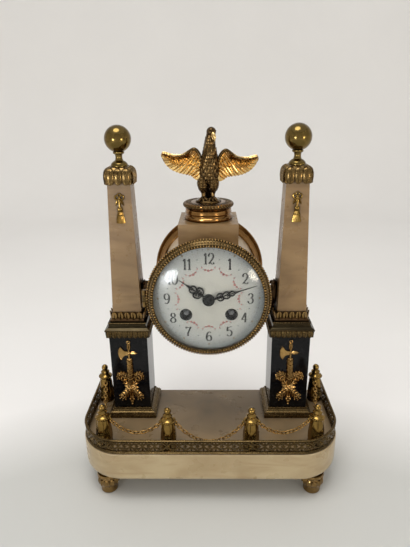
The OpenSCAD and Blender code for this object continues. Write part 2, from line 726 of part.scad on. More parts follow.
// Raised wing: a humped shoulder, an arm out to the tip and two rows of feathers
module wing(s) {
  limb([s * 5, 1, 31], 4.6, [s * 13.2, 2, 41], 3.2);
  limb([s * 13.2, 2, 41], 3.2, [s * 23, 2.6, 36.6], 2.3);
  limb([s * 23, 2.6, 36.6], 2.3, [s * 40.2, 3.2, 37], 1.1);
  tips = [[40.4, 34.6], [39.2, 31.4], [37.2, 28.4], [34.4, 26], [31, 24], [27.2, 22.6], [23.2, 21.8],
    [19.2, 20.8], [15.4, 19.6], [11.8, 17.6]];
  last = len(tips) - 1;
  for (i = [0:last]) {
    t = i / last;
    root = [30 - 23 * t, 36.6 - 4 * t];
    mid = root + 0.56 * (tips[i] - root);
    limb([s * root[0], 3.4, root[1]], 1.9, [s * tips[i][0], 4.2, tips[i][1]], 1.1);
    if (i > 0 && i < last)
      limb([s * root[0], 2, root[1]], 1.8, [s * mid[0], 2.2, mid[1]], 1.5);
  }
}

module eagle() gilt() translate([0, axis_y, eagle_z]) scale(eagle_scale) {
  lean = 2.5;
  cylinder(r = 11, h = 1.6, $fn = 40);
  rotate([0, lean, 0]) {
    limb([0, 2.4, 14], 5.6, [0, -0.6, 26], 8.2);
    limb([0, -0.6, 26], 8.2, [0, -1.4, 39], 5.6);
    limb([0, -1.4, 39], 5.6, [-0.4, -2, 51], 4.3);
    limb([-0.4, -2, 52], 4.3, [0, -3, 56.6], 3.9);
    limb([1.4, -5.4, 56], 2.2, [4.6, -7.6, 52.2], 0.8);
    for (s = [-1, 1]) wing(s);
  }
  for (x = [-5, 0, 5]) limb([x * 0.4, 5, 12], 2.6, [x, 11.5, 2.6], 1.5);
  for (s = [-1, 1]) {
    limb([s * 5.4, -0.6, 18], 4.9, [s * 5, -2.4, 9], 2.7);
    limb([s * 5, -2.4, 9], 2, [s * 5, -3, 2.6], 1.6);
    for (x = [-2.6, 0, 2.6]) limb([s * 5, -3, 2.4], 1.4, [s * 5 + x, -8, 1.4], 0.9);
  }
}

module eagle_stud() steel() translate([0, axis_y, 0]) {
  stud_nut_r = 4.4;
  stud_nut_h = 2.3;
  bottom = drum_z + sqrt(pow(drum_bore, 2) - pow(stud_nut_r, 2)) - seat_gap - stud_nut_h;
  translate([0, 0, bottom]) cylinder(r = tie_r, h = eagle_z - 3 - bottom);
  translate([0, 0, bottom]) cylinder(r = stud_nut_r, h = stud_nut_h, $fn = 6);
}

// Ring fixed on the front of the drum, with the dial seat, movement posts and hinge knuckles
module front_ring() brass() difference() {
  union() {
    at_drum(drum_front) {
      web_r = plate_r - 7.5;
      turned([[web_r, 0], [bezel_r - 1.5, 0], [bezel_r - 1.5, 2.6], [dial_r + 0.3, 2.6],
        [dial_r + 0.3, web_t], [web_r, web_t]]);
      for (t = [45:90:315]) rotate(t) translate([post_ring, 0, drum_front - front_plate_y])
        cylinder(r = pillar_r, h = front_plate_y - drum_front + web_t / 2);
    }
    for (s = [-1, 1]) at_axis(hinge_x, hinge_y, s * knuckle_at) {
      cylinder(r = hinge_r, h = knuckle_h, center = true);
      translate([0, -0.35, -knuckle_h / 2]) cube([5, drum_front - hinge_y + 0.05, knuckle_h]);
    }
  }
  at_axis(hinge_x, hinge_y, -20) cylinder(r = hinge_pin_r + seat_gap, h = 40);
}

// Domed enamel dial with the centre hole and two winding holes
module dial() color([0.93, 0.92, 0.88]) difference() {
  edge = dial_view_r + 0.5;
  hole = 4.2;
  rise = [for (i = [0:12]) let (r = hole + (edge - hole) * i / 12) [r, dial_rise * (1 - pow(r / edge, 2))]];
  at_drum(dial_y) turned(concat(rise, [[dial_r, 0], [dial_r, dial_t]],
    [for (i = [12:-1:0]) rise[i] + [0, dial_t]]));
  for (s = [-1, 1]) bar_y(s * wind_x, -wind_drop, dial_y - 9, dial_y + 3, 5);
}

// Hinged bezel with an outer and an inner roll, a cove between and a seat for the glass
module bezel() brass() difference() {
  r = bezel_r;
  v = dial_view_r;
  union() {
    at_drum(bezel_y) turned([[v + 1.5, 0], [r - 0.6, 0], [r, 0.8], [r, 2], [r - 0.4, 3], [r - 1.2, 3.6],
      [r - 2.4, 3.8], [r - 3.1, 4.6], [r - 3.4, 6.2], [r - 3.8, 7.6], [r - 4.6, 8.6], [r - 5.8, 8.9],
      [v + 0.2, 8.4], [v, 7.4], [v, 6.4], [v + 1.5, 6.4]]);
    at_axis(hinge_x, hinge_y, 0) cylinder(r = hinge_r, h = 2 * hinge_half - 0.3, center = true);
    at_axis(hinge_x, hinge_y - hinge_r, 0.15 - hinge_half)
      cube([3.4, hinge_r - 0.85, 2 * hinge_half - 0.3]);
  }
  at_axis(hinge_x, hinge_y, -20) cylinder(r = hinge_pin_r + run_gap, h = 40);
}

module bezel_glass() color([0.85, 0.92, 0.95, 0.3]) at_drum(bezel_y) {
  edge = dial_view_r - 0.4;
  seat = 6.4;
  glass_t = 1.6;
  glass_rise = 7.2;
  bulge = [for (i = [0:14]) let (f = sin(i * 90 / 14)) [edge * f, seat + glass_rise * (1 - pow(f, 4))]];
  turned(concat([for (p = bulge) p - [0, glass_t]],
    [[dial_view_r + 1.3, seat - glass_t], [dial_view_r + 1.3, seat]], [for (i = [14:-1:0]) bulge[i]]));
}

// Moulded ring on the rear of the drum
module rear_ring() brass() difference() {
  r = ring_r;
  back = drum_rear + 6;
  union() {
    at_drum(back) turned([[r - 11.7, 0], [r - 1.1, 0], [r, 1], [r, 2.6], [r - 1.1, 3.6], [r - 3.3, 4.2],
      [r - 4.3, 5.2], [r - 4.9, 6.4], [r - 5.7, 7.4], [r - 6.5, 8.6], [r - 7.3, 10], [drum_r + fit_gap, 10],
      [drum_r + fit_gap, 6], [r - 20.7, 6], [r - 20.7, 3], [r - 11.7, 3]]);
    for (s = [-1, 1]) at_axis(rear_hinge_x, rear_hinge_y, s * knuckle_at) {
      cylinder(r = rear_hinge_r, h = knuckle_h, center = true);
      translate([-1.4, back - rear_hinge_y - 0.1, -knuckle_h / 2])
        cube([2.8, rear_hinge_y - back + 0.1, knuckle_h]);
    }
  }
  at_axis(rear_hinge_x, rear_hinge_y, -20) cylinder(r = hinge_pin_r + seat_gap, h = 40);
  for (s = [-1, 1]) bar_y(s * (strap_x + strap_t / 2), 0, drum_rear - 1, drum_rear + 4, 1.6);
}

module rear_door() brass() difference() {
  union() {
    r = door_r;
    at_drum(door_y) turned([[0, 0], [r, 0], [r, -1.2], [r - 0.8, -1.6], [r - 6, -1.6], [r - 7, -2.3],
      [r - 8.5, -2.3], [r - 9.5, -1.6], [0.28 * r, -1.6], [0.16 * r, -2.4], [0, -2.6]]);
    bar_y(3.4 - r, 0, door_y + 1, knob_y - 0.8, 1.4);
    bar_y(3.4 - r, 0, knob_y - 1.4, knob_y, 2.3);
    at_axis(rear_hinge_x, rear_hinge_y, 0)
      cylinder(r = rear_hinge_r - 0.2, h = 2 * hinge_half - 0.3, center = true);
    at_axis(r - 1, door_y + 0.3, 0.15 - hinge_half)
      cube([rear_hinge_x - r + 1, 1.2, 2 * hinge_half - 0.3]);
  }
  at_axis(rear_hinge_x, rear_hinge_y, -20) cylinder(r = hinge_pin_r + run_gap, h = 40);
}

module hinge_pins() steel() {
  at_axis(hinge_x, hinge_y, 0) cylinder(r = hinge_pin_r, h = 2 * hinge_reach, center = true);
  at_axis(rear_hinge_x, rear_hinge_y, 0) cylinder(r = hinge_pin_r, h = 2 * hinge_reach, center = true);
}

// Straps that clamp the drum between the front and rear rings
module clamp_straps() steel() for (s = [-1, 1]) {
  at_axis(s * (strap_x + strap_t / 2) - strap_t / 2, drum_front, -strap_half)
    cube([strap_t, drum_d, 2 * strap_half]);
  bar_y(s * (strap_x + strap_t / 2), 0, drum_rear - 1, drum_rear + 4, 1.5);
  bar_y(s * (strap_x + strap_t / 2), 0, drum_rear + 3, drum_rear + 5, 2.8);
}

// Round movement plate with notches for the straps and the bores of the train
module plate(y, barrel_bore) difference() {
  bar_y(0, 0, y, y + plate_t, plate_r);
  for (s = [-1, 1]) {
    at_axis(s * (strap_x + 6.4) - 6.8, y - 1, -3.6) cube([13.6, plate_t + 2, 7.2]);
    bar_y(s * wind_x, -wind_drop, y - 1, y + plate_t + 1, barrel_bore);
  }
  bar_y(0, 0, y - 1, y + plate_t + 1, 1.5 + run_gap);
  bar_y(second_x, second_h, y - 1, y + plate_t + 1, 1 + run_gap);
}

module front_plate() brass() {
  plate(front_plate_y, arbor_r + run_gap);
  bar_y(0, minute_dist, front_plate_y - 4.8, front_plate_y + 1, 1);
}

// Back plate with the cock and pin that hang the pendulum
module back_plate() brass() {
  rear = back_plate_y + plate_t;
  difference() {
    plate(back_plate_y, arbor_tail + run_gap);
    bar_y(hammer_x, hammer_h, back_plate_y - 1, rear + 1, 1 + run_gap);
  }
  at_axis(-4, rear - 0.5, pendulum_pin_h + 3) cube([8, pendulum_y + 3.5 - rear + 0.5, 3]);
  for (y = [pendulum_y - 3.5, pendulum_y + 2])
    at_axis(-3, y, pendulum_pin_h - 2.5) cube([6, 1.5, 6]);
  bar_y(0, pendulum_pin_h, pendulum_y - 3.5, pendulum_y + 3.5, pendulum_pin_r);
}

module pillars() brass() for (t = pillar_at)
  bar_y(pillar_ring * cos(t), pillar_ring * sin(t), front_plate_y + plate_t, back_plate_y, pillar_r);

// Spring barrel with its toothed rim
module barrel(s, phase) brass() difference() {
  union() {
    gear_y(s * wind_x, -wind_drop, -15.2, -13.2, barrel_n, gear_m, phase);
    bar_y(s * wind_x, -wind_drop, -13.4, 9, 12.6);
  }
  bar_y(s * wind_x, -wind_drop, -20, 20, arbor_r + run_gap);
}

module going_barrel() barrel(1, barrel_phase);
module strike_barrel() barrel(-1, 0);

// Winding arbor: square for the key, ratchet wheel, journal and tail
module winding_arbor(s) steel() {
  square_w = 3.4;
  teeth = 24;
  bar_y(s * wind_x, -wind_drop, -22.2, 9.4, arbor_r);
  bar_y(s * wind_x, -wind_drop, 9, back_plate_y + plate_t, arbor_tail);
  at_axis(s * wind_x - square_w / 2, -27.4, -wind_drop - square_w / 2)
    cube([square_w, 6, square_w]);
  at_axis(s * wind_x, -20.4, -wind_drop) rotate([90, 0, 0]) linear_extrude(1.6)
    polygon([for (i = [0:teeth - 1]) for (f = [[6.5, 0], [5.6, 0.2]])
      f[0] * [cos((i + f[1]) * 360 / teeth), sin((i + f[1]) * 360 / teeth)]]);
}

module going_arbor() winding_arbor(1);
module strike_arbor() winding_arbor(-1);

module second_wheel() brass() {
  bar_y(second_x, second_h, front_plate_y + 0.5, back_plate_y + plate_t - 0.5, 1);
  gear_y(second_x, second_h, -15.8, -12.6, second_pinion_n, gear_m, second_phase);
  gear_y(second_x, second_h, 12, 13.4, second_wheel_n, gear_m, second_phase);
}

// Centre arbor with its pinion, centre wheel, cannon pinion and the pipe for the minute hand
module centre_arbor() brass() {
  bar_y(0, 0, minute_hand_y - hand_t, back_plate_y + plate_t, 1.5);
  gear_y(0, 0, 11, 14.4, centre_pinion_n, gear_m, 0);
  gear_y(0, 0, -5, -3.6, 50, 0.4, 0);
  gear_y(0, 0, -22.2, -20.6, cannon_n, gear_m, 0);
  bar_y(0, 0, minute_hand_y - hand_t, -22, minute_pipe_r);
}

module minute_wheel() brass() difference() {
  union() {
    gear_y(0, minute_dist, -22.2, -20.7, minute_wheel_n, gear_m, minute_phase);
    gear_y(0, minute_dist, -24.2, -22, minute_pinion_n, hour_m, minute_phase);
  }
  bar_y(0, minute_dist, -30, -10, 1 + run_gap);
}

module hour_wheel() brass() difference() {
  union() {
    gear_y(0, 0, -24.1, -22.6, hour_wheel_n, hour_m, hour_phase);
    bar_y(0, 0, hour_hand_y - hand_t, -24, hour_pipe_r);
  }
  bar_y(0, 0, -40, -10, minute_pipe_r + run_gap);
}

// Pierced hand outline: boss, two open loops with side beads and a slender tip
module hand2d(length, boss, bore, loop_a, loop_b) difference() {
  lap = 0.7;
  rim = 1.3;
  a_at = boss + loop_a - lap;
  b_at = a_at + loop_a + loop_b - lap;
  union() {
    circle(boss);
    translate([0, -boss - 0.9]) circle(1.7);
    translate([0, a_at]) circle(loop_a);
    for (s = [-1, 1]) translate([s * loop_a, a_at + 1]) circle(1.2);
    for (s = [-1, 1]) translate([s * loop_b, b_at]) circle(0.9);
    translate([0, b_at]) polygon(concat([for (t = [115:10:425]) loop_b * [cos(t), sin(t)]],
      [[1.5, loop_b + 1.2], [1.2, loop_b + 3.2], [0.6, loop_b + 5.6], [0.2, length - b_at],
        [-0.2, length - b_at], [-0.6, loop_b + 5.6], [-1.2, loop_b + 3.2], [-1.5, loop_b + 1.2]]));
  }
  circle(bore);
  translate([0, a_at]) circle(loop_a - rim);
  translate([0, b_at]) circle(loop_b - rim);
}

module hour_hand() black_steel() at_drum(hour_hand_y) rotate(-hour_rest)
  linear_extrude(hand_t) hand2d(hour_len, 5.6, hour_pipe_r + seat_gap, 4.8, 3);

module minute_hand() black_steel() {
  at_drum(minute_hand_y) rotate(-minute_rest)
    linear_extrude(hand_t) hand2d(minute_len, 5.4, minute_pipe_r + seat_gap, 3.8, 3.4);
  at_drum(minute_hand_y - hand_t) cylinder(r = 2.8, h = 1.2);
}

module pendulum_rod() steel() {
  low = pendulum_pin_h - pendulum_len;
  difference() {
    union() {
      bar_y(0, pendulum_pin_h, pendulum_y - 1.6, pendulum_y + 1.6, 2.2);
      at_axis(0, pendulum_y, low - bob_r - 5) cylinder(r = rod_r, h = pendulum_len + bob_r + 4);
      at_axis(0, pendulum_y, low - bob_r - 2.6) cylinder(r = 2.4, h = 2.4);
    }
    bar_y(0, pendulum_pin_h, pendulum_y - 5, pendulum_y + 5, pendulum_pin_r + run_gap);
  }
}

module pendulum_bob() brass() difference() {
  r = bob_r;
  low = pendulum_pin_h - pendulum_len;
  at_axis(0, pendulum_y + bob_t / 2, low) rotate([90, 0, 0])
    turned([[0, 0], [0.5 * r, 0.5], [0.83 * r, 1.8], [r, 3], [r, 4], [0.83 * r, 5.2], [0.5 * r, 6.5],
      [0, bob_t]]);
  at_axis(0, pendulum_y, low - r - 1) cylinder(r = rod_r + seat_gap, h = 2 * r + 2);
}

module bell() color([0.75, 0.68, 0.42]) {
  r = bell_r;
  at_drum(bell_y) turned([[1.6, 0], [0.3 * r, 0.4], [0.59 * r, 2.2], [0.815 * r, 5.6], [0.944 * r, 9.6],
    [r, 14], [r - 1.4, 14], [0.896 * r, 10.4], [0.77 * r, 7], [0.563 * r, 3.9], [0.3 * r, 2], [1.6, 1.6]]);
  bar_y(bell_post_x, 0, back_plate_y + plate_t, bell_y + 3.2, 1.8);
  at_axis(0, bell_y + 1.7, 0) rotate([0, 90, 0]) cylinder(r = 1.2, h = bell_post_x);
  bar_y(0, 0, bell_y - 2, bell_y + 3.2, 1.58);
}

// Hammer on its arbor, just clear of the bell's rim
module hammer() steel() {
  bar_y(hammer_x, hammer_h, back_plate_y - 1.5, hammer_y + 2.7, 1);
  bar_y(hammer_x, hammer_h, hammer_y - 1.4, hammer_y + 1.4, 2.4);
  at_axis(hammer_x, hammer_y + 0.8, hammer_h) rotate([90, 0, 0]) linear_extrude(1.6)
    strip([0, 0], [hammer_dx, hammer_dh], 2);
  bar_y(hammer_x + hammer_dx, hammer_h + hammer_dh, hammer_y - 2.4, hammer_y + 2.4, 2.5);
}

base_slab();
feet();
gallery_rail();
bollards();
chain_left_end();
chain_front_left();
chain_front_middle();
chain_front_right();
chain_right_end();
plinth_left();
plinth_right();
die_left();
die_right();
trophy_left();
trophy_right();
cap_left();
cap_right();
collar_left();
collar_right();
obelisk_left();
obelisk_right();
tassels();
leafcap_left();
leafcap_right();
finial_left();
finial_right();
bracket_left();
bracket_right();
tie_rods();
tie_nuts();
drum_case();
saddle_block();
eagle_plinth();
eagle();
eagle_stud();
front_ring();
dial();
bezel();
bezel_glass();
rear_ring();
rear_door();
hinge_pins();
clamp_straps();
front_plate();
back_plate();
pillars();
going_barrel();
strike_barrel();
going_arbor();
strike_arbor();
second_wheel();
centre_arbor();
minute_wheel();
hour_wheel();
hour_hand();
minute_hand();
pendulum_rod();
pendulum_bob();
bell();
hammer();
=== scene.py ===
from math import atan, cos, exp, hypot, pi, radians, sin

import bpy
import bmesh
from mathutils import Matrix, Vector


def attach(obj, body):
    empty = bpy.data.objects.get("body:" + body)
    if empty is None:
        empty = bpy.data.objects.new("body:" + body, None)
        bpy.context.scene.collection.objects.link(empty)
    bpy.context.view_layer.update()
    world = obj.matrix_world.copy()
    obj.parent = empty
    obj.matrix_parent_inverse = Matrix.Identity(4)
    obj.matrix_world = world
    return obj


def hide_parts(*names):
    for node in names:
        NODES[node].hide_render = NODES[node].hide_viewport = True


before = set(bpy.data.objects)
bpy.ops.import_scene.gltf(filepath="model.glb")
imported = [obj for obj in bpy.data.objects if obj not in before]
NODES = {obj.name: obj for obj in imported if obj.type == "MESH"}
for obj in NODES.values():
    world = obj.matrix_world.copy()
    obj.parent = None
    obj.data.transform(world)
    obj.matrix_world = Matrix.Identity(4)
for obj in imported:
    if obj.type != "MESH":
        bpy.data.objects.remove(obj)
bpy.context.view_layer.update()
MM = 0.001
TAU = 2 * pi
X, Y, Z = Vector((1, 0, 0)), Vector((0, 1, 0)), Vector((0, 0, 1))

# Places in millimetres, as in the part's source
AXIS_X, AXIS_Y = 80.4, 15.6
SLAB_TOP, DIE_Z, CAP_Z, COLLAR_Z, OBELISK_Z = 54.2, 64.2, 144.5, 160.7, 170.2
LEAFCAP_Z, FINIAL_Z, DRUM_Z, BLOCK_Z, EAGLE_Z = 297, 308.6, 197, 260, 276
DIE_HALF, OBELISK_FOOT, OBELISK_HEAD, OBELISK_H = 18.8, 14.1, 10.35, 126.8
BEZEL_R, VIEW_R, BEZEL_Y, DIAL_Y = 56, 49, -29, -27
BEZEL_HINGE, DOOR_HINGE, PIN_R = (-57.9, -28.2), (52.4, 61.4), 0.95
ARBOR_X, ARBOR_DROP = 20.45, 15


# Materials

def lin(*rgb):
    """Linear colour of a display colour given in 0 to 255."""
    return tuple(c / 255 / 12.92 if c <= 10 else ((c / 255 + 0.055) / 1.055) ** 2.4 for c in rgb) + (1,)


class Nodes:
    """A node tree and short ways to add to it."""

    def __init__(self, tree):
        self.t = tree

    def feed(self, socket, value):
        """Gives an input a number or colour, or another node's output."""
        if isinstance(value, bpy.types.NodeSocket):
            self.t.links.new(value, socket)
        else:
            socket.default_value = value

    def node(self, kind, **values):
        n = self.t.nodes.new("ShaderNode" + kind)
        for k, v in values.items():
            if k in n.inputs:
                self.feed(n.inputs[k], v)
            else:
                setattr(n, k, v)
        return n

    def span(self, src, lo, hi, start=0.25, end=0.75):
        limits = {"From Min": start, "From Max": end, "To Min": lo, "To Max": hi}
        return self.node("MapRange", Value=src, **limits).outputs["Result"]


class Shader(Nodes):
    """One material with its Principled shader."""

    def __init__(self, name, rough=0.5, metal=0):
        self.m = bpy.data.materials.new(name)
        self.m.use_nodes = True
        super().__init__(self.m.node_tree)
        self.b = self.t.nodes["Principled BSDF"]
        self.put("Roughness", rough)
        self.put("Metallic", metal)
        self.place = self.node("TexCoord").outputs["Object"]

    def put(self, name, value):
        self.feed(self.b.inputs[name], value)

    def scaled(self, stretch):
        return self.node("Mapping", Vector=self.place, Scale=stretch).outputs["Vector"]

    def noise(self, scale, detail=4, stretch=None, distort=0):
        at = self.scaled(stretch) if stretch else self.place
        return self.node("TexNoise", Vector=at, Scale=scale, Detail=detail, Distortion=distort).outputs["Fac"]

    def distance(self, src, point):
        n = self.node("VectorMath", operation="DISTANCE", Vector=src)
        n.inputs[1].default_value = point
        return n.outputs["Value"]

    def ramp(self, src, *stops):
        n = self.node("ValToRGB", Fac=src)
        e = n.color_ramp.elements
        while len(e) < len(stops):
            e.new(0.5)
        for el, (pos, col) in zip(e, stops):
            el.position = pos
            el.color = col if isinstance(col, tuple) else (col, col, col, 1)
        return n.outputs["Color"]

    def mix(self, a, b, fac=1, how="MULTIPLY"):
        n = self.node("Mix", data_type="RGBA", blend_type=how)
        for key, value in ((6, a), (7, b), (0, fac)):
            self.feed(n.inputs[key], value)
        return n.outputs[2]

    # Ambient occlusion, used as a mask to paint shade into recesses.
    def crevice(self, distance):
        return self.node("AmbientOcclusion", Distance=distance, samples=8).outputs["AO"]

    def finish(self, color, rough=None, bump=None, strength=0, depth=0):
        self.put("Base Color", color)
        if rough:
            self.put("Roughness", rough)
        if bump:
            relief = self.node("Bump", Strength=strength, Distance=depth, Height=bump)
            self.put("Normal", relief.outputs["Normal"])
        return self.m


def metal(name, bright, mid, dark, rough, grain=700, reach=0.0012, strength=0.25):
    """Cast or turned metal: patches of tone, painted shade darkening the recesses, and a fine skin."""
    s = Shader(name, rough, 1)
    tone = s.ramp(s.noise(120, 5, distort=0.4), (0.25, lin(*mid)), (0.78, lin(*bright)))
    # Painted shade: ambient occlusion darkens the base colour towards the dark colour in recesses and between
    # parts.
    painted_recess_shade = s.ramp(s.crevice(reach), (0.25, lin(*dark)), (0.8, 1))
    skin = s.noise(grain, 6)
    return s.finish(s.mix(tone, painted_recess_shade), s.span(skin, rough - 0.07, rough + 0.12), skin, strength, 0.00006)


def stone(name, light, mid, deep, top_shade=None):
    """Polished alabaster: clouded cream with soft streaks, darker on its upward faces and in its recesses,
    both by painted shade.
    """
    s = Shader(name, 0.3)
    color = s.ramp(s.noise(26, 7, (1, 1, 2.2), 0.5), (0.3, lin(*mid)), (0.6, lin(*light)))
    streak = s.ramp(s.noise(40, 6, (0.5, 0.5, 3), 0.8), (0.5, 0), (0.72, 0.55))
    color = s.mix(color, lin(*deep), streak, "MIX")
    if top_shade:
        # Painted shade: faces that point up are darkened with the given shade colour.
        up = s.node("SeparateXYZ", Vector=s.node("NewGeometry").outputs["Normal"])
        top = s.ramp(up.outputs["Z"], (0.75, 0), (0.97, 1))
        shade = lin(*(c * 0.82 for c in top_shade))
        painted_top_shade = s.ramp(s.noise(30, 8, distort=0.6), (0.3, shade), (0.7, lin(*top_shade)))
        color = s.mix(color, painted_top_shade, top, "MIX")
    # Painted shade in recesses, from ambient occlusion.
    color = s.mix(color, s.ramp(s.crevice(0.006), (0.2, 0.5), (0.9, 1)))
    s.put("Subsurface Weight", 0.1)
    s.put("Subsurface Radius", (1, 0.7, 0.4))
    s.put("Subsurface Scale", 0.003)
    return s.finish(color, s.span(s.noise(60, 6), 0.22, 0.4), s.noise(900, 5), 0.1, 0.00004)


def plain(name, color, other, rough, metallic=0, shine=0.5):
    """Paint or plain metal with a slight mottle."""
    s = Shader(name, rough, metallic)
    s.put("Specular IOR Level", shine)
    spots = s.noise(300, 5)
    tone = s.ramp(spots, (0.35, lin(*other)), (0.65, lin(*color)))
    return s.finish(tone, s.span(spots, rough - 0.05, rough + 0.1), spots, 0.1, 0.00003)


def black_stone():
    """Polished black marble with faint grey veins."""
    s = Shader("black_marble", 0.12)
    vein = s.ramp(s.noise(60, 8, distort=1.8), (0.47, 0), (0.5, 0.12), (0.53, 0))
    color = s.mix(lin(9, 9, 11), lin(56, 54, 52), vein, "MIX")
    s.put("Specular IOR Level", 0.22)
    return s.finish(color, s.span(s.noise(300, 5), 0.07, 0.16), s.noise(700), 0.04, 0.00003)


def enamel_white():
    """Domed enamel, warm white in the middle, darkened to cool grey towards the rim by painted shade."""
    s = Shader("enamel", 0.16)
    away = s.span(s.distance(s.scaled((1, 0, 1)), (0, 0, DRUM_Z * MM)), 0, 1, 0, 0.05)
    # Painted shade: the enamel greys towards the rim, where the bezel and glass shade it.
    base = s.ramp(away, (0.4, lin(163, 160, 151)), (0.75, lin(154, 154, 149)), (0.97, lin(130, 133, 132)))
    haze = s.ramp(s.noise(140, 6), (0.3, 0.94), (0.6, 1))
    return s.finish(s.mix(base, haze), s.span(s.noise(220), 0.1, 0.2), s.noise(260, 3), 0.06, 0.00005)


def clear_glass():
    """Slightly smeared glass that lets lamplight through to the dial."""
    s = Shader("clear_glass", 0.11)
    s.put("Transmission Weight", 1)
    s.put("IOR", 1.36)
    s.put("Base Color", (0.97, 0.985, 0.98, 1))
    smear = s.noise(35, 4, (1, 1, 0.4), 0.8)
    tint = s.ramp(smear, (0.3, (0.93, 0.95, 0.95, 1)), (0.7, (0.98, 0.99, 0.99, 1)))
    s.finish(tint, s.span(smear, 0.1, 0.12))
    shade = s.node("MixShader", Fac=s.node("LightPath").outputs["Is Shadow Ray"])
    s.feed(shade.inputs[1], s.b.outputs["BSDF"])
    s.feed(shade.inputs[2], s.node("BsdfTransparent").outputs["BSDF"])
    s.feed(s.t.nodes["Material Output"].inputs["Surface"], shade.outputs["Shader"])
    return s.m


BRASS = metal("aged_brass", (134, 109, 68), (96, 77, 46), (40, 30, 18), 0.22)
POLISHED = metal("polished_brass", (120, 100, 56), (100, 82, 44), (46, 35, 20), 0.12, 500, 0.001, 0.06)
GILT = metal("gilt_brass", (186, 146, 84), (146, 112, 60), (54, 36, 18), 0.24, 800, 0.0016)
FEATHER = metal("feather_gilt", (238, 204, 138), (200, 163, 104), (104, 74, 42), 0.22, 800, 0.0011)
TROPHY = metal("trophy_gilt", (206, 168, 106), (140, 108, 62), (30, 20, 10), 0.15, 800, 0.0018, 0.15)
WARM = metal("warm_brass", (150, 110, 62), (112, 81, 46), (44, 29, 16), 0.13, 500, 0.001, 0.06)
BEAD = metal("bead_brass", (156, 126, 80), (114, 90, 54), (30, 21, 12), 0.16, 600, 0.0009, 0.08)
EAGLE = metal("eagle_brass", (104, 82, 50), (66, 50, 30), (26, 18, 11), 0.2, 600, 0.0016, 0.2)
DULL = metal("dull_brass", (106, 87, 55), (77, 62, 38), (32, 25, 16), 0.25, 600, 0.0016, 0.3)
DARK = metal("dark_brass", (62, 54, 38), (46, 39, 27), (20, 16, 11), 0.14, 600, 0.0012, 0.1)
BRIGHT = metal("bright_brass", (152, 122, 65), (112, 88, 46), (38, 28, 14), 0.15, 600, 0.0014, 0.1)
BRONZE = metal("dark_bronze", (78, 58, 38), (54, 41, 27), (24, 18, 13), 0.34, 600, 0.0016, 0.35)
STEEL = plain("turned_steel", (150, 150, 152), (110, 110, 112), 0.3, 1)
BLACK = plain("black_steel", (9, 8, 8), (4, 4, 4), 0.6, shine=0.05)
MOVEMENT = metal("movement_brass", (206, 172, 100), (176, 140, 76), (80, 60, 34), 0.24)
# The alabaster's last colour is the painted shade on its upward faces.
ALABASTER = stone("alabaster", (172, 154, 120), (154, 133, 99), (138, 110, 75), (141, 119, 88))
OBELISK_STONE = stone("warm_alabaster", (141, 114, 78), (122, 96, 64), (106, 80, 50))
DRUM_STONE = stone("pale_alabaster", (186, 169, 146), (170, 152, 128), (148, 124, 96))
MARBLE = black_stone()
ENAMEL = enamel_white()
GLASS = clear_glass()
INK = plain("dial_black", (11, 10, 10), (18, 17, 16), 0.5, shine=0.2)
PINK = plain("dial_pink", (156, 92, 86), (126, 66, 64), 0.4)
BLUE = plain("dial_blue", (66, 70, 78), (46, 50, 58), 0.4)
GOLD = plain("dial_gold", (120, 102, 72), (92, 78, 54), 0.35)
GROMMET_AND_HOLE_SHADE = plain("grommet_and_hole_shade", (10, 9, 9), (6, 6, 6), 0.6, shine=0.2)


# Mesh building, all in millimetres

def turns(count, shift=0):
    """Evenly spaced angles round a circle, moved on by a share of one step."""
    return [(i + shift) * TAU / count for i in range(count)]


def shares(count):
    """Evenly spaced numbers from 0 to 1."""
    return [i / count for i in range(count + 1)]


def polar(t, r=1, z=0):
    """Point at an angle, a radius and a height."""
    return Vector((r * cos(t), r * sin(t), z))


def inset(r, steps):
    """Profile of points given by how far they lie inside the radius r."""
    return [(r - a, z) for a, z in steps]


def percent(r, h, steps):
    """Profile of points given in hundredths of a radius and a height."""
    return [(a * r / 100, z * h / 100) for a, z in steps]


def heading(path, i, closed=False):
    """Direction of a path at its point i."""
    n = len(path)
    ahead = path[(i + 1) % n if closed else min(i + 1, n - 1)]
    return (ahead - path[i - 1 if closed else max(i - 1, 0)]).normalized()


def curve(points, steps=6, closed=False):
    """Smooth run through the given points."""
    pts = [Vector(p) for p in points]
    n = len(pts)
    out = []
    for i in range(n if closed else n - 1):
        near = (i - 1, i, i + 1, i + 2)
        p0, p1, p2, p3 = (pts[j % n if closed else min(max(j, 0), n - 1)] for j in near)
        for t in shares(steps)[:-1]:
            out.append(0.5 * (2 * p1 + (p2 - p0) * t + (2 * p0 - 5 * p1 + 4 * p2 - p3) * t * t
                              + (3 * p1 - p0 - 3 * p2 + p3) * t ** 3))
    return out if closed else out + [pts[-1]]


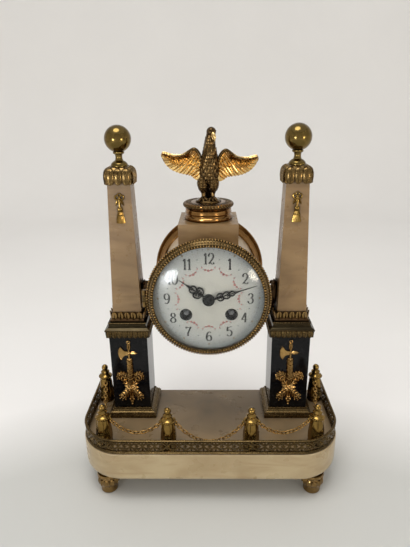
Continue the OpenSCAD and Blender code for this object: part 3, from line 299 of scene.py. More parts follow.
class Kit:
    """Collects closed shapes into one mesh."""

    def __init__(self, m=None):
        self.v, self.f = [], []
        self.m = m or Matrix.Identity(4)

    def at(self, m):
        self.m = m
        return self

    def loops(self, rows, closed=False):
        n, k = len(rows), len(rows[0])
        b = len(self.v)
        self.v += [self.m @ Vector(p) for r in rows for p in r]
        for i in range(n if closed else n - 1):
            p, q = b + i * k, b + (i + 1) % n * k
            self.f += [[p + j, p + (j + 1) % k, q + (j + 1) % k, q + j] for j in range(k)]
        if not closed:
            self.f += [[b + j for j in range(k)][::-1], [b + (n - 1) * k + j for j in range(k)]]

    def lathe(self, profile, seg=72, closed=False, at=(0, 0, 0), wave=0, lobes=0):
        def point(r, z, a):
            return Vector(at) + polar(a, max(r, 0.02) * (1 + wave * cos(lobes * a)), z)

        self.loops([[point(r, z, a) for a in turns(seg)] for r, z in profile], closed)

    def square(self, profile):
        """Solid of square plan from (half width, height), closed at the bottom and the top."""
        line = [(0.02, profile[0][1])] + profile + [(0.02, profile[-1][1])]
        self.loops([[(-w, -w, z), (w, -w, z), (w, w, z), (-w, w, z)] for w, z in line])

    def box(self, x0, x1, half, high):
        self.loops([[(x0, -half, z), (x1, -half, z), (x1, half, z), (x0, half, z)] for z in (0, high)])

    def knuckle(self, r, half, seg):
        self.lathe([(PIN_R, -half), (r, -half), (r, half), (PIN_R, half)], seg, True)

    def ball(self, c, r, seg=14, rings=8, turn=None):
        size = Vector((r, r, r) if isinstance(r, (int, float)) else r)
        turn = turn or Matrix.Identity(3)
        rows = []
        for i in range(rings + 1):
            t = pi * (min(max(i, 0.12), rings - 0.12) / rings - 0.5)
            rows.append([Vector(c) + turn @ (size * polar(a, cos(t), sin(t))) for a in turns(seg)])
        self.loops(rows)

    def beads(self, count, r, z, size, seg, rings):
        """Circle of beads; long ones are turned to lie along it."""
        for t in turns(count):
            turn = None if isinstance(size, float) else Matrix.Rotation(t, 3, "Z")
            self.ball(polar(t, r, z), size, seg, rings, turn)

    def sweep(self, path, a, b=None, normals=None, closed=False, seg=8):
        """Oval bar along a path, a wide across the normal and b along it; lists change along the way."""
        path = [Vector(p) for p in path]
        a, b = (w if isinstance(w, list) else [w] * len(path) for w in (a, a if b is None else b))
        side = Z
        rows = []
        for i, p in enumerate(path):
            t = heading(path, i, closed)
            side = Vector(normals[i]) if normals else side
            side = side - t * side.dot(t)
            if side.length < 1e-6:
                side = t.orthogonal()
            side.normalize()
            across = t.cross(side)
            rows.append([p + across * a[i] * cos(x) + side * b[i] * sin(x) for x in turns(seg)])
        self.loops(rows, closed)

    def ring(self, c, r, wire, x=X, y=Y, seg=28, tube=8):
        arms = [(x * cos(t) + y * sin(t)) * r for t in turns(seg)]
        self.sweep([Vector(c) + arm for arm in arms], wire, wire, arms, True, tube)

    def leaf(self, root, along, normal, length, width, thick=0.7, bend=0, lobes=0, blunt=0.75, rib=0.35,
             nu=9):
        """Leaf with a raised midrib that curls away from its normal by bend radians."""
        y, z = Vector(along).normalized(), Vector(normal)
        z = (z - y * z.dot(y)).normalized()
        x = y.cross(z)
        rows = []
        for u in shares(nu):
            w = width / 2 * max(sin(pi * (0.15 + 0.85 * u)), 0) ** blunt
            w = max(w * (1 + 0.16 * cos(TAU * lobes * u)) if lobes else w, width * 0.03)
            a = bend * u
            run = length * (sin(a) / bend if bend else u)
            drop = length * ((1 - cos(a)) / bend if bend else 0)
            body = thick * (0.35 + 0.65 * sin(pi * (0.2 + 0.8 * u)))
            row = [(v * w, body * (1 - v * v) * (1 + 0.25 * cos(9 * v)) + rib * thick * exp(-(v / 0.13) ** 2))
                   for v in (-1, -0.72, -0.4, -0.14, 0, 0.14, 0.4, 0.72, 1)]
            row += [(0.6 * w, -0.35 * body), (-0.6 * w, -0.35 * body)]
            start = Vector(root) + y * run - z * drop
            rows.append([start + x * p + (y * sin(a) + z * cos(a)) * h for p, h in row])
        self.loops(rows)

    def tongue(self, line, x, width, thick, rib=0.4):
        """Broad blunt leaf along a line of (distance out, height), with a midrib and two side ribs."""
        run = curve([(x, -o, z) for o, z in line], 4)
        side, body, nors = [], [], []
        for i, u in enumerate(shares(len(run) - 1)):
            t = heading(run, i)
            nors.append(Vector((0, t.z, -t.y)).normalized())
            end = max(1 - max(0, (u - 0.7) / 0.3) ** 2, 0.02) ** 0.5
            side.append(width / 2 * min(1, 0.45 + 1.6 * u) * end)
            body.append(thick * (0.55 + 0.45 * end))
        self.sweep(run, side, body, nors, seg=12)
        for off in (-0.5, 0, 0.5):
            line = [q + v * b * (0.92 - 0.5 * abs(off)) + X * off * w
                    for q, v, b, w in zip(run, nors, body, side)]
            self.sweep(line[:-1], rib * (1 - abs(off)), None, nors, seg=6)

    def plate(self, outline, z0, z1, slope):
        """Flat plate from an outline, its upper edge drawn in by slope towards the middle."""
        cx, cy = (sum(p[i] for p in outline) / len(outline) for i in (0, 1))
        k = 1 - slope / max(hypot(x - cx, y - cy) for x, y in outline)
        self.loops([[(cx + (x - cx) * f, cy + (y - cy) * f, z) for x, y in outline]
                    for f, z in ((1, z0), (1, z1 - slope), (k, z1))])


def stroke(kit, points, lo, hi, low, high, surface=None, closed=False, nib=True, steps=5):
    """Flat pen stroke, thin along X and thick along Y, standing from low to high above a surface."""
    run = curve([(p[0], p[1], 0) for p in points], steps, closed)
    rows = []
    for i, p in enumerate(run):
        t = heading(run, i, closed)
        w = lo + (hi - lo) * (abs(t.y) ** 1.6 if nib else sin(pi * (i + 0.5) / len(run)))
        s = Vector((-t.y, t.x, 0)) * w / 2
        g = surface(p.x, p.y) if surface else 0
        corners = (p + s, low), (p - s, low), (p - s, high), (p + s, high)
        rows.append([q + Z * (g + h) for q, h in corners])
    kit.loops(rows, closed)


def link(name, data):
    ob = bpy.data.objects.new(name, data)
    bpy.context.scene.collection.objects.link(ob)
    return ob


def coat(me, mat, sharp):
    """One material and smooth faces, with edges left sharp from an angle on."""
    me.polygons.foreach_set("use_smooth", [True] * len(me.polygons))
    me.set_sharp_from_angle(angle=radians(sharp))
    me.materials.clear()
    me.materials.append(mat)


def piece(name, kit, mat, replaces=(), sharp=42, body="clock"):
    """One shown piece from a kit, riding on a body."""
    me = bpy.data.meshes.new(name)
    me.from_pydata([tuple(p * MM) for p in kit.v], [], kit.f)
    bm = bmesh.new()
    bm.from_mesh(me)
    bmesh.ops.recalc_face_normals(bm, faces=bm.faces)
    bm.to_mesh(me)
    bm.free()
    coat(me, mat, sharp)
    ob = link(name, me)
    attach(ob, body)
    if replaces:
        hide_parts(*replaces)


def dress(node, mat, width, body="clock"):
    """Copy of a CAD node with softly rounded edges, shown in its place."""
    sharp = 35
    me = NODES[node].data.copy()
    me.name = node + "_dressed"
    bm = bmesh.new()
    bm.from_mesh(me)
    bmesh.ops.remove_doubles(bm, verts=bm.verts, dist=2e-6)
    bmesh.ops.dissolve_limit(bm, angle_limit=radians(0.3), verts=bm.verts, edges=bm.edges)
    bm.to_mesh(me)
    bm.free()
    coat(me, mat, sharp)
    ob = link(me.name, me)
    bev = ob.modifiers.new("edges", "BEVEL")
    bev.width = width * MM
    bev.segments = 2
    bev.limit_method = "ANGLE"
    bev.angle_limit = radians(sharp)
    bev.use_clamp_overlap = True
    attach(ob, body)
    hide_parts(node)


def basis(o, x, y, z):
    """Frame at a place with the given axes."""
    return Matrix([(x[i], y[i], z[i], o[i]) for i in range(3)] + [(0, 0, 0, 1)])


def facing(x, y, z):
    """Local X right, local Y up, local Z towards the viewer."""
    return basis((x, y, z), X, Z, -Y)


def drum_at(y):
    return facing(0, y, DRUM_Z)


def place(x, y, z, turn=0):
    return Matrix.Translation((x, y, z)) @ Matrix.Rotation(radians(turn), 4, "Z")


def pillar_at(side, z):
    return place(side * AXIS_X, AXIS_Y, z)


def four_sides(m):
    """Frames of the four sides of a square mount, the front one first."""
    return [m @ Matrix.Rotation(i * pi / 2, 4, "Z") for i in range(4)]


# CAD nodes that keep their shape

def paint(mat, *names):
    for n in names:
        me = NODES[n].data
        me.materials.clear()
        me.materials.append(mat)


paint(STEEL, "tie_rods", "tie_nuts", "eagle_stud", "hinge_pins", "clamp_straps", "going_arbor",
      "strike_arbor", "pendulum_rod", "hammer")
paint(MOVEMENT, "front_plate", "back_plate", "pillars", "going_barrel", "strike_barrel", "second_wheel",
      "centre_arbor", "minute_wheel", "hour_wheel", "pendulum_bob", "bell")
paint(DRUM_STONE, "drum_case")
paint(ENAMEL, "dial")
paint(BRASS, "front_ring")

dress("base_slab", ALABASTER, 0.5)
dress("saddle_block", OBELISK_STONE, 0.6)
for label in ("left", "right"):
    dress("die_" + label, MARBLE, 0.4)
    dress("obelisk_" + label, OBELISK_STONE, 0.6)


# Feet

def build_feet():
    k = Kit()
    r, h = 10.8, 22
    shape = percent(r, h, [
        (0, 0), (70, 0), (75, 3), (77, 7), (74, 11), (77, 34), (80, 40), (88, 44), (92, 50), (90, 60),
        (86, 67), (80, 71), (80, 76), (94, 82), (100, 88), (100, 94), (97, 100), (0, 100)])
    for x in (-100.5, 100.5):
        for y in (-47, 26.5):
            k.at(place(x, y, 0)).lathe(shape, 56)
            for t in turns(14):
                k.leaf(polar(t, 0.84 * r, 15.4), -Z, polar(t), 7.2, 4.2, 1.1, blunt=0.6)
            k.beads(40, 0.975 * r, 19.8, 0.62, 8, 5)
    piece("turned_feet", k, BEAD, ["feet"])


build_feet()


# Gallery: two interlaced wavy ribbons with rosettes between plain rails

WALL_R, CORNER_X, ROW_Y, END_LEN = 39.3, 84, -22.5, 63.8
ARC = WALL_R * pi / 2
GALLERY_LEN = 2 * (END_LEN + ARC + CORNER_X)


def gallery_point(s):
    """Place and outward direction at a length s along the gallery from its left rear end."""
    flip = 1 if s < GALLERY_LEN / 2 else -1
    s = min(s, GALLERY_LEN - s)
    t = pi + min(max(s - END_LEN, 0) / WALL_R, pi / 2)
    x = max(s - END_LEN - ARC, 0) - CORNER_X + WALL_R * cos(t)
    y = max(END_LEN - s, 0) + ROW_Y + WALL_R * sin(t)
    return Vector((flip * x, y, 0)), Vector((flip * cos(t), sin(t), 0))


def build_gallery():
    k = Kit(place(0, 0, SLAB_TOP))
    eyes, mid = 37, 7.9
    step = GALLERY_LEN / eyes

    def bar(height, a, b, count, seg):
        """Oval bar along the whole gallery, its height given by the length along it."""
        ways = [GALLERY_LEN * f for f in shares(count)]
        spots = [gallery_point(s) for s in ways]
        k.sweep([p + Z * height(s) for s, (p, _) in zip(ways, spots)], a, b, [n for _, n in spots], seg=seg)

    def eye(s):
        p, n = gallery_point(s)
        return basis(p + Z * (SLAB_TOP + mid), (-n.y, n.x, 0), Z, n)

    for z, a, b in ((1, 1, 1.65), (2.3, 0.5, 1.3), (14.1, 0.9, 1.3), (12.7, 0.4, 0.9)):
        bar(lambda s: z, a, b, 110, 10)
    for sign in (-1, 1):
        for swing, a, b, seg in ((4.1, 0.85, 0.62, 8), (2.4, 0.28, 0.4, 6)):
            bar(lambda s: mid + sign * swing * sin(pi * s / step), a, b, eyes * 12, seg)
    rosette = [(0, -0.7), (1.7, -0.6), (1.9, 0), (1.5, 0.5), (0.8, 0.55), (0.7, 0.95), (0, 1.1)]
    for i in range(eyes):
        k.at(eye((i + 0.5) * step)).lathe(rosette, 25, wave=0.16, lobes=5)
        k.at(eye(i * step + 0.01))
        for up in (-1, 1):
            k.leaf((0, up * 1.1, 0.1), (0, up, 0), Z, 3.9, 2.2, 0.5)
    piece("pierced_gallery", k, DULL, ["gallery_rail"])


build_gallery()


# Bollards and chains

EYE_Z = SLAB_TOP + 26
JOINT_SET = 7.2
POST_PLAN = (-114, 26), (-101, -46), (-38.905, -51), (38.905, -51), (101, -46), (114, 26)
POSTS = [Vector((x, y, EYE_Z)) for x, y in POST_PLAN]


def build_bollards():
    k = Kit()
    r, h = 7.6, 43
    shape = percent(r, h, [
        (0, 0), (100, 0), (100, 4), (94, 6), (97, 8.5), (97, 11.5), (90, 14), (91, 30), (87, 45), (78, 57),
        (70, 63), (82, 65), (88, 68), (84, 71.5), (60, 74), (48, 76.5), (58, 78.5), (60, 81),
        (44, 83.5), (34, 85.5), (41, 88), (45, 91.5), (40, 95.5), (24, 98.5), (0, 100)])
    for i, post in enumerate(POSTS):
        k.at(place(post.x, post.y, SLAB_TOP, 11 * i)).lathe(shape, 48)
        for t in turns(8):
            k.leaf(polar(t, 0.86 * r, 6), Z, polar(t), 12.5, 4.4, 0.75, blunt=0.5)
            k.leaf(polar(t, 0.62 * r, 26.4), polar(t, 0.16, -1), polar(t), 9, 3.4, 0.9, blunt=0.5)
        k.beads(20, 0.86 * r, 0.682 * h, 0.85, 8, 5)
        k.at(Matrix.Identity(4))
        for other in POSTS[max(i - 1, 0):i] + POSTS[i + 1:i + 2]:
            d = (other - post).normalized()
            k.ring(post + d * 6, 2.3, 0.7, d, Z, tube=10)
    piece("bollard_posts", k, BRIGHT, ["bollards"])


def build_chain(name, a, b, slack):
    """Run of interlocked links between two posts, hung so that they just span the gap."""
    straight, bend, wire, gap = 1.8, 1.55, 0.5, 0.15
    pitch = straight + 2 * bend - 2 * wire - gap
    d = (b - a).normalized()
    level = Vector((-d.y, d.x, 0))
    span = (b - a).length - 2 * JOINT_SET
    n = 2 * round((span * slack / pitch - 1) / 2) + 1
    ranks = [j - (n - 1) / 2 for j in range(n)]
    lo, hi = 0, 2
    for _ in range(50):
        m = (lo + hi) / 2
        too_wide = sum(pitch * cos(atan(m * j)) for j in ranks) > span
        lo, hi = (m, hi) if too_wide else (lo, m)
    k = Kit()
    p = a + d * JOINT_SET
    for j, rank in enumerate(ranks):
        t = atan(lo * rank)
        x = d * cos(t) + Z * sin(t)
        flat = x.cross(level) if j % 2 else level
        c = p + x * pitch / 2
        path = [c + x * s * (straight / 2 + bend * cos(w)) + flat * s * bend * sin(w)
                for s in (1, -1) for w in (pi * (q - 0.5) for q in shares(8))]
        k.sweep(path, wire, wire, [x.cross(flat)] * len(path), True)
        p += x * pitch
    piece(name + "_links", k, GILT, [name], 60, name)


build_bollards()
CHAINS = {"left_end": 1.08, "front_left": 1.17, "front_middle": 1.24, "front_right": 1.17, "right_end": 1.08}
for (label, slack), a, b in zip(CHAINS.items(), POSTS, POSTS[1:]):
    build_chain("chain_" + label, a, b, slack)


# Trophies on the pedestals

HEART = 23.5


def add_fasces(k):
    """Bundle of rods bound with straps, on a shaft."""
    k.sweep([(0, HEART, 1), (0, 50, 1.1), (0, 73, 1)], 0.9, 1, seg=10)
    for x in (-2.3, -1.2, 0, 1.2, 2.3):
        z = 2 - 0.16 * x * x
        k.sweep([(x * 1.1, HEART + 2, z - 0.3), (x, 42, z), (x * 0.8, 56.5, z - 0.2)], 0.66, 0.7)
        k.ball((x * 0.8, 56.8, z - 0.2), (0.66, 1.1, 0.7), 8, 6)
    strap = (-3.2, 0.6, 0.6), (-2.3, 1.1, 2), (0, -0.2, 2.9), (2.3, 1.1, 2), (3.2, 0.6, 0.6)
    for v in (34, 39, 44, 49, 54):
        k.sweep([(x, v + y, z) for x, y, z in strap], 0.7, 0.45)


def add_axe(k):
    """Axe blade, back spike, spear point and ring."""
    k.plate([
        (-0.6, 61.4), (-0.6, 65.6), (-3.4, 65.8), (-5.4, 67), (-7, 69.4), (-8, 70.6), (-9.4, 68.8),
        (-10.3, 66.4), (-10.6, 63.4), (-10.2, 60.4), (-9.2, 57.8), (-7.8, 56.2), (-6.8, 57.8),
        (-5.4, 60), (-3.4, 61.2)], 0.1, 1.7, 0.5)
    k.sweep(curve([
        (-7.8, 70.2, 1), (-9.8, 67, 1.1), (-10.3, 63.4, 1.1), (-9.6, 59.6, 1.1), (-7.6, 56.6, 1)]), 0.5, 0.8)
    k.leaf((0.8, 63.5, 0.6), (1, -0.06, 0), Z, 7.6, 3.8, 1.1)
    k.ball((0, 63.5, 1.2), (1.5, 1.7, 1.2), 12, 8)
    k.leaf((0, 66.8, 0.7), Y, Z, 8.8, 3.8, 1.2)
    k.ring((0, 75.6, 1), 1.5, 0.5, seg=20)


def add_laurel(k, tip, fan, size):
    """Spray of leaves and berries from the trophy's heart to a tip."""

    def fanned(degrees):
        w = radians(degrees)
        return Vector((d.x * cos(w) - d.y * sin(w), d.x * sin(w) + d.y * cos(w), 0.2))

    a, b = Vector((0, HEART, 0.9)), Vector(tip)
    d = (b - a).normalized()
    k.sweep([a, (a + b) / 2 + Z * 0.3, b], 0.8)
    for j, degrees in enumerate(fan):
        v = fanned(degrees)
        reach = size * (1 - 0.0045 * abs(degrees))
        k.leaf(b + Z * 0.25 * (j % 2), v, Z, reach, 3, 1.1, 0.55, blunt=0.6, rib=0.5)
        for f, grain in ((0.3, 0.85), (0.62, 0.75), (0.9, 0.6)):
            k.ball(b + v * reach * f + Z * (1 - 0.5 * f), grain, 10, 6)
    for f in (0.45, 0.75):
        for degrees in (-55, 55):
            k.leaf(a.lerp(b, f), fanned(degrees), Z, 5.4, 2.6, 0.9, 0.4)


def build_trophy(side, label):
    k = Kit(facing(side * AXIS_X, AXIS_Y - DIE_HALF, DIE_Z))
    add_fasces(k)
    add_axe(k)
    for s in (-7, 7):
        add_laurel(k, (s, HEART + 11.5, 1), (-58, -34, -11, 11, 34, 58), 9.4)
        add_laurel(k, (s, HEART - 8, 1), (-48, -16, 16, 48), 7.2)
    # drop below the heart
    k.leaf((0, HEART - 2, 0.9), -Y, Z, 17.5, 4.6, 1.2, lobes=4)
    for x, y, r in ((0, 12.4, 1.8), (-1.7, 10.4, 1.3), (1.7, 10.4, 1.3), (0, 7.6, 1.6), (0, 4.8, 1.1)):
        k.ball((x, y, 1.3), (r, r * 1.1, 1.1), 12, 8)
    # rosette
    for shift, count, size, wide, lift in ((0, 9, 7, 4, 1.2), (0.5, 7, 4.6, 3, 2)):
        for t in turns(count, shift):
            k.leaf(polar(t, 0.6, lift) + Y * HEART, polar(t, 1, 0.12), Z, size, wide, 0.8, 0.5, blunt=0.5)
    k.ball((0, HEART, 2.4), (1.7, 1.7, 0.9), 14, 8)
    piece("fasces_trophy_" + label, k, TROPHY, ["trophy_" + label])


# Pedestal and obelisk mounts

def build_cap(side, label):
    base, lit = Kit(pillar_at(side, CAP_Z)), Kit()
    w = 22
    base.square(inset(w, [
        (2.4, 0), (0.9, 0.8), (0.9, 7.2), (0.2, 7.5), (0, 7.9), (0, 8.9), (0.8, 9.4), (1.6, 9.8), (2.6, 10.7),
        (3.3, 11.8), (3.6, 12.8), (4, 14.3), (3.4, 14.7), (3.4, 16.2)]))
    for m in four_sides(base.m):
        lit.at(m)
        for i in range(8):
            x = (i - 3.5) * 5.15
            lit.leaf((x, -w + 0.9, 7.5), -Z, -Y, 7.3, 4.9, 0.75, blunt=0.55)
            if i < 7:
                lit.leaf((x + 2.57, -w + 1, 7.4), -Z, -Y, 4.6, 2, 0.5)
        for set_in, out, z, thick in ((0.2, 0.35, 8.4, 0.4), (3.6, 3.55, 15.4, 0.3)):
            lit.sweep([(x, out - w, z) for x in (set_in - w, w - set_in)], 0.55, thick)
    piece("cap_body_" + label, base, DARK, ["cap_" + label], 25)
    piece("cap_leaves_" + label, lit, DULL)


def build_collar(side, label):
    base, lit = Kit(pillar_at(side, COLLAR_Z)), Kit()
    w = 16.7
    base.square(inset(w, [(0, 0), (0, 1.6), (1, 2.2), (1.8, 4), (2.2, 9.5)]))
    for m in four_sides(base.m):
        lit.at(m)
        for i in range(5):
            x = (i - 2) * 6.2
            lit.leaf((x, -w + 1.5, 1.4), (0, -0.02, 1), -Y, 9.2, 5.4, 1, -0.3, blunt=0.5)
            if i < 4:
                lit.leaf((x + 3.1, -w + 1.7, 1.4), (0, 0.1, 1), -Y, 7, 2, 0.6)
    piece("collar_body_" + label, base, BRONZE, ["collar_" + label], 25)
    piece("collar_leaves_" + label, lit, BEAD)


def build_plinth(side, label):
    k = Kit(pillar_at(side, SLAB_TOP))
    k.square(inset(24.5, [
        (0, 0), (0, 3.3), (0.3, 3.8), (1, 4), (1.1, 5.1), (1.5, 5.6), (2.3, 5.9), (2.9, 6.5), (3.4, 7.3),
        (4, 7.8), (4.3, 8.2), (4.3, 9.1), (4.6, 9.5), (4.8, 10)]))
    piece("plinth_steps_" + label, k, DULL, ["plinth_" + label], 25)


def build_leafcap(side, label):
    m = pillar_at(side, LEAFCAP_Z)
    k = Kit(m)
    g = OBELISK_HEAD + 3.1
    k.square(inset(g, [
        (2.8, 0.1), (1.6, 0.9), (1.2, 2.6), (1.1, 4.2), (1.5, 6.2), (2.4, 8), (3.4, 9.4), (4.3, 10.7),
        (5.3, 11.6)]))
    face = inset(g, [(5.2, 10.8), (3.2, 10), (1.4, 8.2), (0.5, 5.2), (0.3, 1.8), (0.6, -1.4), (0.5, -4)])
    corner = [(o * 1.414 - (2.4 if z > 8 else 3), z) for o, z in face]
    for front, edge in zip(four_sides(m), four_sides(m @ Matrix.Rotation(pi / 4, 4, "Z"))):
        k.at(front)
        for x in (-7, 0, 7):
            k.tongue(face, x, 6.8, 0.8)
        k.at(edge).tongue(corner, 0, 7, 0.8)
    piece("leaf_cap_" + label, k, BRASS, ["leafcap_" + label], 50)


def build_finial(side, label):
    k = Kit(pillar_at(side, FINIAL_Z))
    k.lathe([
        (0, 0), (7.8, 0), (7.9, 0.6), (7.8, 1.2), (7.2, 2.6), (5.6, 4.2), (3.9, 5), (3.3, 6.2), (3.1, 7.8),
        (3.2, 9.4), (3.7, 10.6), (4.8, 11.1), (5.1, 11.8), (5, 12.6), (4.2, 13.2), (0, 13.2)], 56)
    k.lathe([(12 * sin(pi * f), 24 - 12 * cos(pi * f)) for f in shares(40)], 72)
    piece("ball_finial_" + label, k, POLISHED, ["finial_" + label])


def build_tassels():
    k = Kit()
    foot_z = 258
    slope = (OBELISK_FOOT - OBELISK_HEAD) / OBELISK_H
    front = AXIS_Y - OBELISK_FOOT + (foot_z - OBELISK_Z) * slope
    tilt = atan(slope)
    for side in (-1, 1):
        up, out = (0, sin(tilt), cos(tilt)), (0, -cos(tilt), sin(tilt))
        k.at(basis((side * AXIS_X, front, foot_z), X, up, out))
        for s in (-1, 1):
            bow = (0, 23.2, 0.9), (1.6, 25.8, 1), (3.6, 25.4, 0.9), (3.6, 22.8, 0.8), (1.6, 22, 0.9)
            k.sweep(curve([(s * x, y, z) for x, y, z in bow], 6, True), 0.75, 0.7, closed=True)
            k.leaf((s * 0.6, 22.4, 0.6), (s * 0.55, -1, 0), Z, 6.8, 2.4, 0.8)
        k.ball((0, 23, 1.4), (1.5, 1.6, 1.1), 12, 8)
        k.ring((0, 26.4, 0.9), 1.5, 0.5, seg=20)
        k.sweep([(0, 22.5, 0.8), (0, 16, 0.9), (0, 12, 0.9)], 1, 0.9)
        k.ball((0, 13.4, 1.5), (2.5, 2.5, 1.5), 16, 10)
        k.ring((0, 11, 1.2), 2, 0.6, X, Z * 0.55, 20)
        for x in (i / 3 for i in range(-3, 4)):
            z = 0.6 + 1.5 * (1 - x * x)
            strand = [(x * 1.9, 11, z), (x * 2.8, 6.5, z), (x * 3.6, 0.5, z * 0.9)]
            k.sweep(strand, [0.4, 0.6, 0.72], [0.5, 0.7, 0.8])
        k.ring((0, 7.8, 1.2), 2.8, 0.5, X, Z * 0.5, 20)
    piece("bow_tassels", k, BRIGHT, ["tassels"])


# Half width and outline of each scroll of a bracket
SCROLLS = (
    (5.4, [(64.6, 0), (62.6, -4), (61, -11), (57.5, -15), (53, -13.5), (51, -8), (50.4, -3)]),
    (6.2, [(64.4, -20), (62, -25), (60.6, -32), (57.2, -34), (53.6, -32), (54.2, -28), (57.6, -27.6),
           (59, -30.4), (57, -31.6)]),
    (5.6, [(51, -27), (46, -32), (40, -37), (35, -39), (33, -37.6)]))


def build_bracket(side, label):
    """Leafy scrolls that fill the CAD bracket between the obelisk and the drum."""
    k = Kit(place(0, AXIS_Y, DRUM_Z) @ Matrix.Scale(side, 4, X))
    seat_r = 49.2
    ledge = [(seat_r * cos(t), 0, seat_r * sin(t)) for t in (radians(a) for a in range(-52, 0, 4))]
    k.sweep(ledge, 5.6, 1.5, ledge, seg=12)
    k.sweep([(66.1, 0, 1), (65.9, 0, -8), (65.6, 0, -16), (65.2, 0, -22.6)], 5.8, 1, [-X] * 4, seg=12)
    for wide, line in SCROLLS:
        k.sweep(curve([(x, 0, z) for x, z in line]), wide, 1.3, seg=12)
    for y in (-6.2, 6.2):
        k.ball((57.2, y, -30.3), (2.6, 1.2, 2.6), 14, 8)
        k.ball((62.4, y, -3.8), (2.2, 1, 2.2), 14, 8)
    for y in (-1, 1):
        for i in range(5):
            outer, inner = (63 - 2.4 * i, y * 5.2, -17 - 1.6 * i), (50 - 3.6 * i, y * 4.6, -26 - 2.7 * i)
            k.leaf(outer, (-0.6, 0, -1 + 0.3 * i), Y * y, 7.5, 4.4, 1, 0.3, 3)
            k.leaf(inner, (-0.5, 0, -1), Y * y, 6.4, 3.8, 1, 0.3, 3)
    web = [(49.2, 0), (52, -10), (57, -14.5), (62, -8), (65, -2), (65, -22), (61.6, -25), (61.4, -33),
           (56, -34.4), (50, -30), (45, -32), (37, -38), (33, -37.4), (36, -33), (42, -25), (46.5, -13)]
    k.loops([[(x, y, z) for x, z in web] for y in (-4.6, 4.6)])
    piece("scroll_bracket_" + label, k, BRONZE, ["bracket_" + label], 55)


MOUNTS = build_trophy, build_cap, build_collar, build_plinth, build_leafcap, build_finial, build_bracket
for side, label in ((-1, "left"), (1, "right")):
    for build in MOUNTS:
        build(side, label)
build_tassels()


# Drum mounts

def build_bezel():
    k = Kit(drum_at(BEZEL_Y))
    k.lathe(inset(BEZEL_R, [
        (5.5, 0), (0.8, 0), (0.6, 0.5), (1.4, 1), (1.9, 2), (1.7, 3.2), (2.4, 3.8), (3, 4.5), (3.3, 6.2),
        (3.8, 7.2), (4.5, 7.5), (5, 7), (6.4, 6.9), (7, 6.7), (7, 6.4), (5.5, 6.4)]), 144, True)
    k.at(place(*BEZEL_HINGE, DRUM_Z)).knuckle(2, 2.5, 28)
    k.at(facing(-56.4, -29.1, DRUM_Z)).box(-1.4, 1.6, 2.5, 1.05)
    piece("turned_bezel", k, DULL, ["bezel"], body="bezel")
    k = Kit(drum_at(BEZEL_Y))
    k.beads(138, BEZEL_R - 1.1, 2.3, (1.3, 1.08, 1.7), 12, 8)
    k.beads(126, BEZEL_R - 3.4, 5.2, (0.9, 1.05, 1.1), 12, 8)
    k.beads(126, VIEW_R + 1.3, 7.4, (1.3, 1.04, 1.5), 12, 8)
    piece("bezel_beading", k, BEAD, body="bezel")


def build_glass():
    """Glass that stands proud of the bezel, flat in the middle and steep at the rim."""
    k = Kit(drum_at(BEZEL_Y))
    rim = [(VIEW_R + 1.3, 4.8), (VIEW_R + 1.3, 6.4)]
    line = [((VIEW_R - 0.4) * f, 6.4 + 7.2 * (1 - f ** 3)) for f in (sin(pi / 2 * u) for u in shares(24))]
    k.lathe([(r, z - 1.6) for r, z in line] + rim + line[::-1], 128)
    piece("domed_glass", k, GLASS, ["bezel_glass"], 30, "bezel")


def build_rear_ring():
    k = Kit(drum_at(60))
    k.lathe(inset(56.7, [
        (11.7, 0), (1.1, 0), (0.3, 0.4), (0, 1.2), (0, 2.4), (0.4, 3.2), (1.1, 3.7), (3.3, 4.2), (4.1, 4.8),
        (4.5, 5.6), (4.9, 6.5), (5.7, 7.4), (6.5, 8.6), (7.3, 10), (9, 10), (9, 6), (20.7, 6), (20.7, 3),
        (11.7, 3)]), 144, True)
    for s in (-5.5, 5.5):
        k.at(place(*DOOR_HINGE, DRUM_Z + s)).knuckle(1.5, 2.5, 24)
    piece("moulded_rear_ring", k, WARM, ["rear_ring"])


def build_rear_door():
    """Turned door with a beaded ring, a chased sunburst and a rosette, towards the back."""
    door_y, r = 60.2, 50
    k = Kit(drum_at(door_y))
    k.lathe(inset(r, [
        (r, 0), (0, 0), (0, -1.2), (0.8, -1.6), (2.2, -1.6), (2.8, -1.1), (4.4, -1.1), (5, -1.6), (6, -1.6),
        (6.8, -2.1), (8.4, -2.1), (9.2, -1.6), (12, -1.4), (28, -1.2), (29.6, -1.3), (30.4, -1.8),
        (31.6, -2.2), (32.8, -1.8), (33.6, -1.3), (40, -1.3), (41, -1.7), (r, -2.2)]), 144)
    knob = [(1.4, -1), (1.4, -2.3), (2, -2.5), (2.3, -3), (2.2, -3.5), (1.6, -3.8), (0, -3.8)]
    k.lathe(knob, 32, at=(3.4 - r, 0, 0))
    k.at(place(*DOOR_HINGE, DRUM_Z)).knuckle(1.3, 2.7, 28)
    k.at(facing(50.2, 61.7, DRUM_Z)).box(-1.2, 1.1, 2.6, 1.2)
    piece("turned_rear_door", k, BRASS, ["rear_door"], 25, "rear_door")
    k = Kit(drum_at(door_y))
    k.beads(110, r - 7.6, -2.2, (1, 1.1, 0.7), 10, 6)
    for i, t in enumerate(turns(48, 0.5)):
        long, wide = (17.4, 4.2) if i % 2 else (12.6, 3)
        k.leaf(polar(t, 21.4, -1.2), polar(t), -Z, long, wide, 0.6, blunt=0.6)
    for shift, count, size, wide in ((0, 14, 14.6, 5.4), (0.5, 9, 8.4, 4.4)):
        for t in turns(count, shift):
            k.leaf(polar(t, 1.2, -1.5 - shift), polar(t), -Z, size, wide, 0.6, lobes=3, blunt=0.6)
    k.ball((0, 0, -2.5), (2.4, 2.4, 0.9), 20, 10)
    piece("rear_door_sunburst", k, GILT, (), 50, "rear_door")


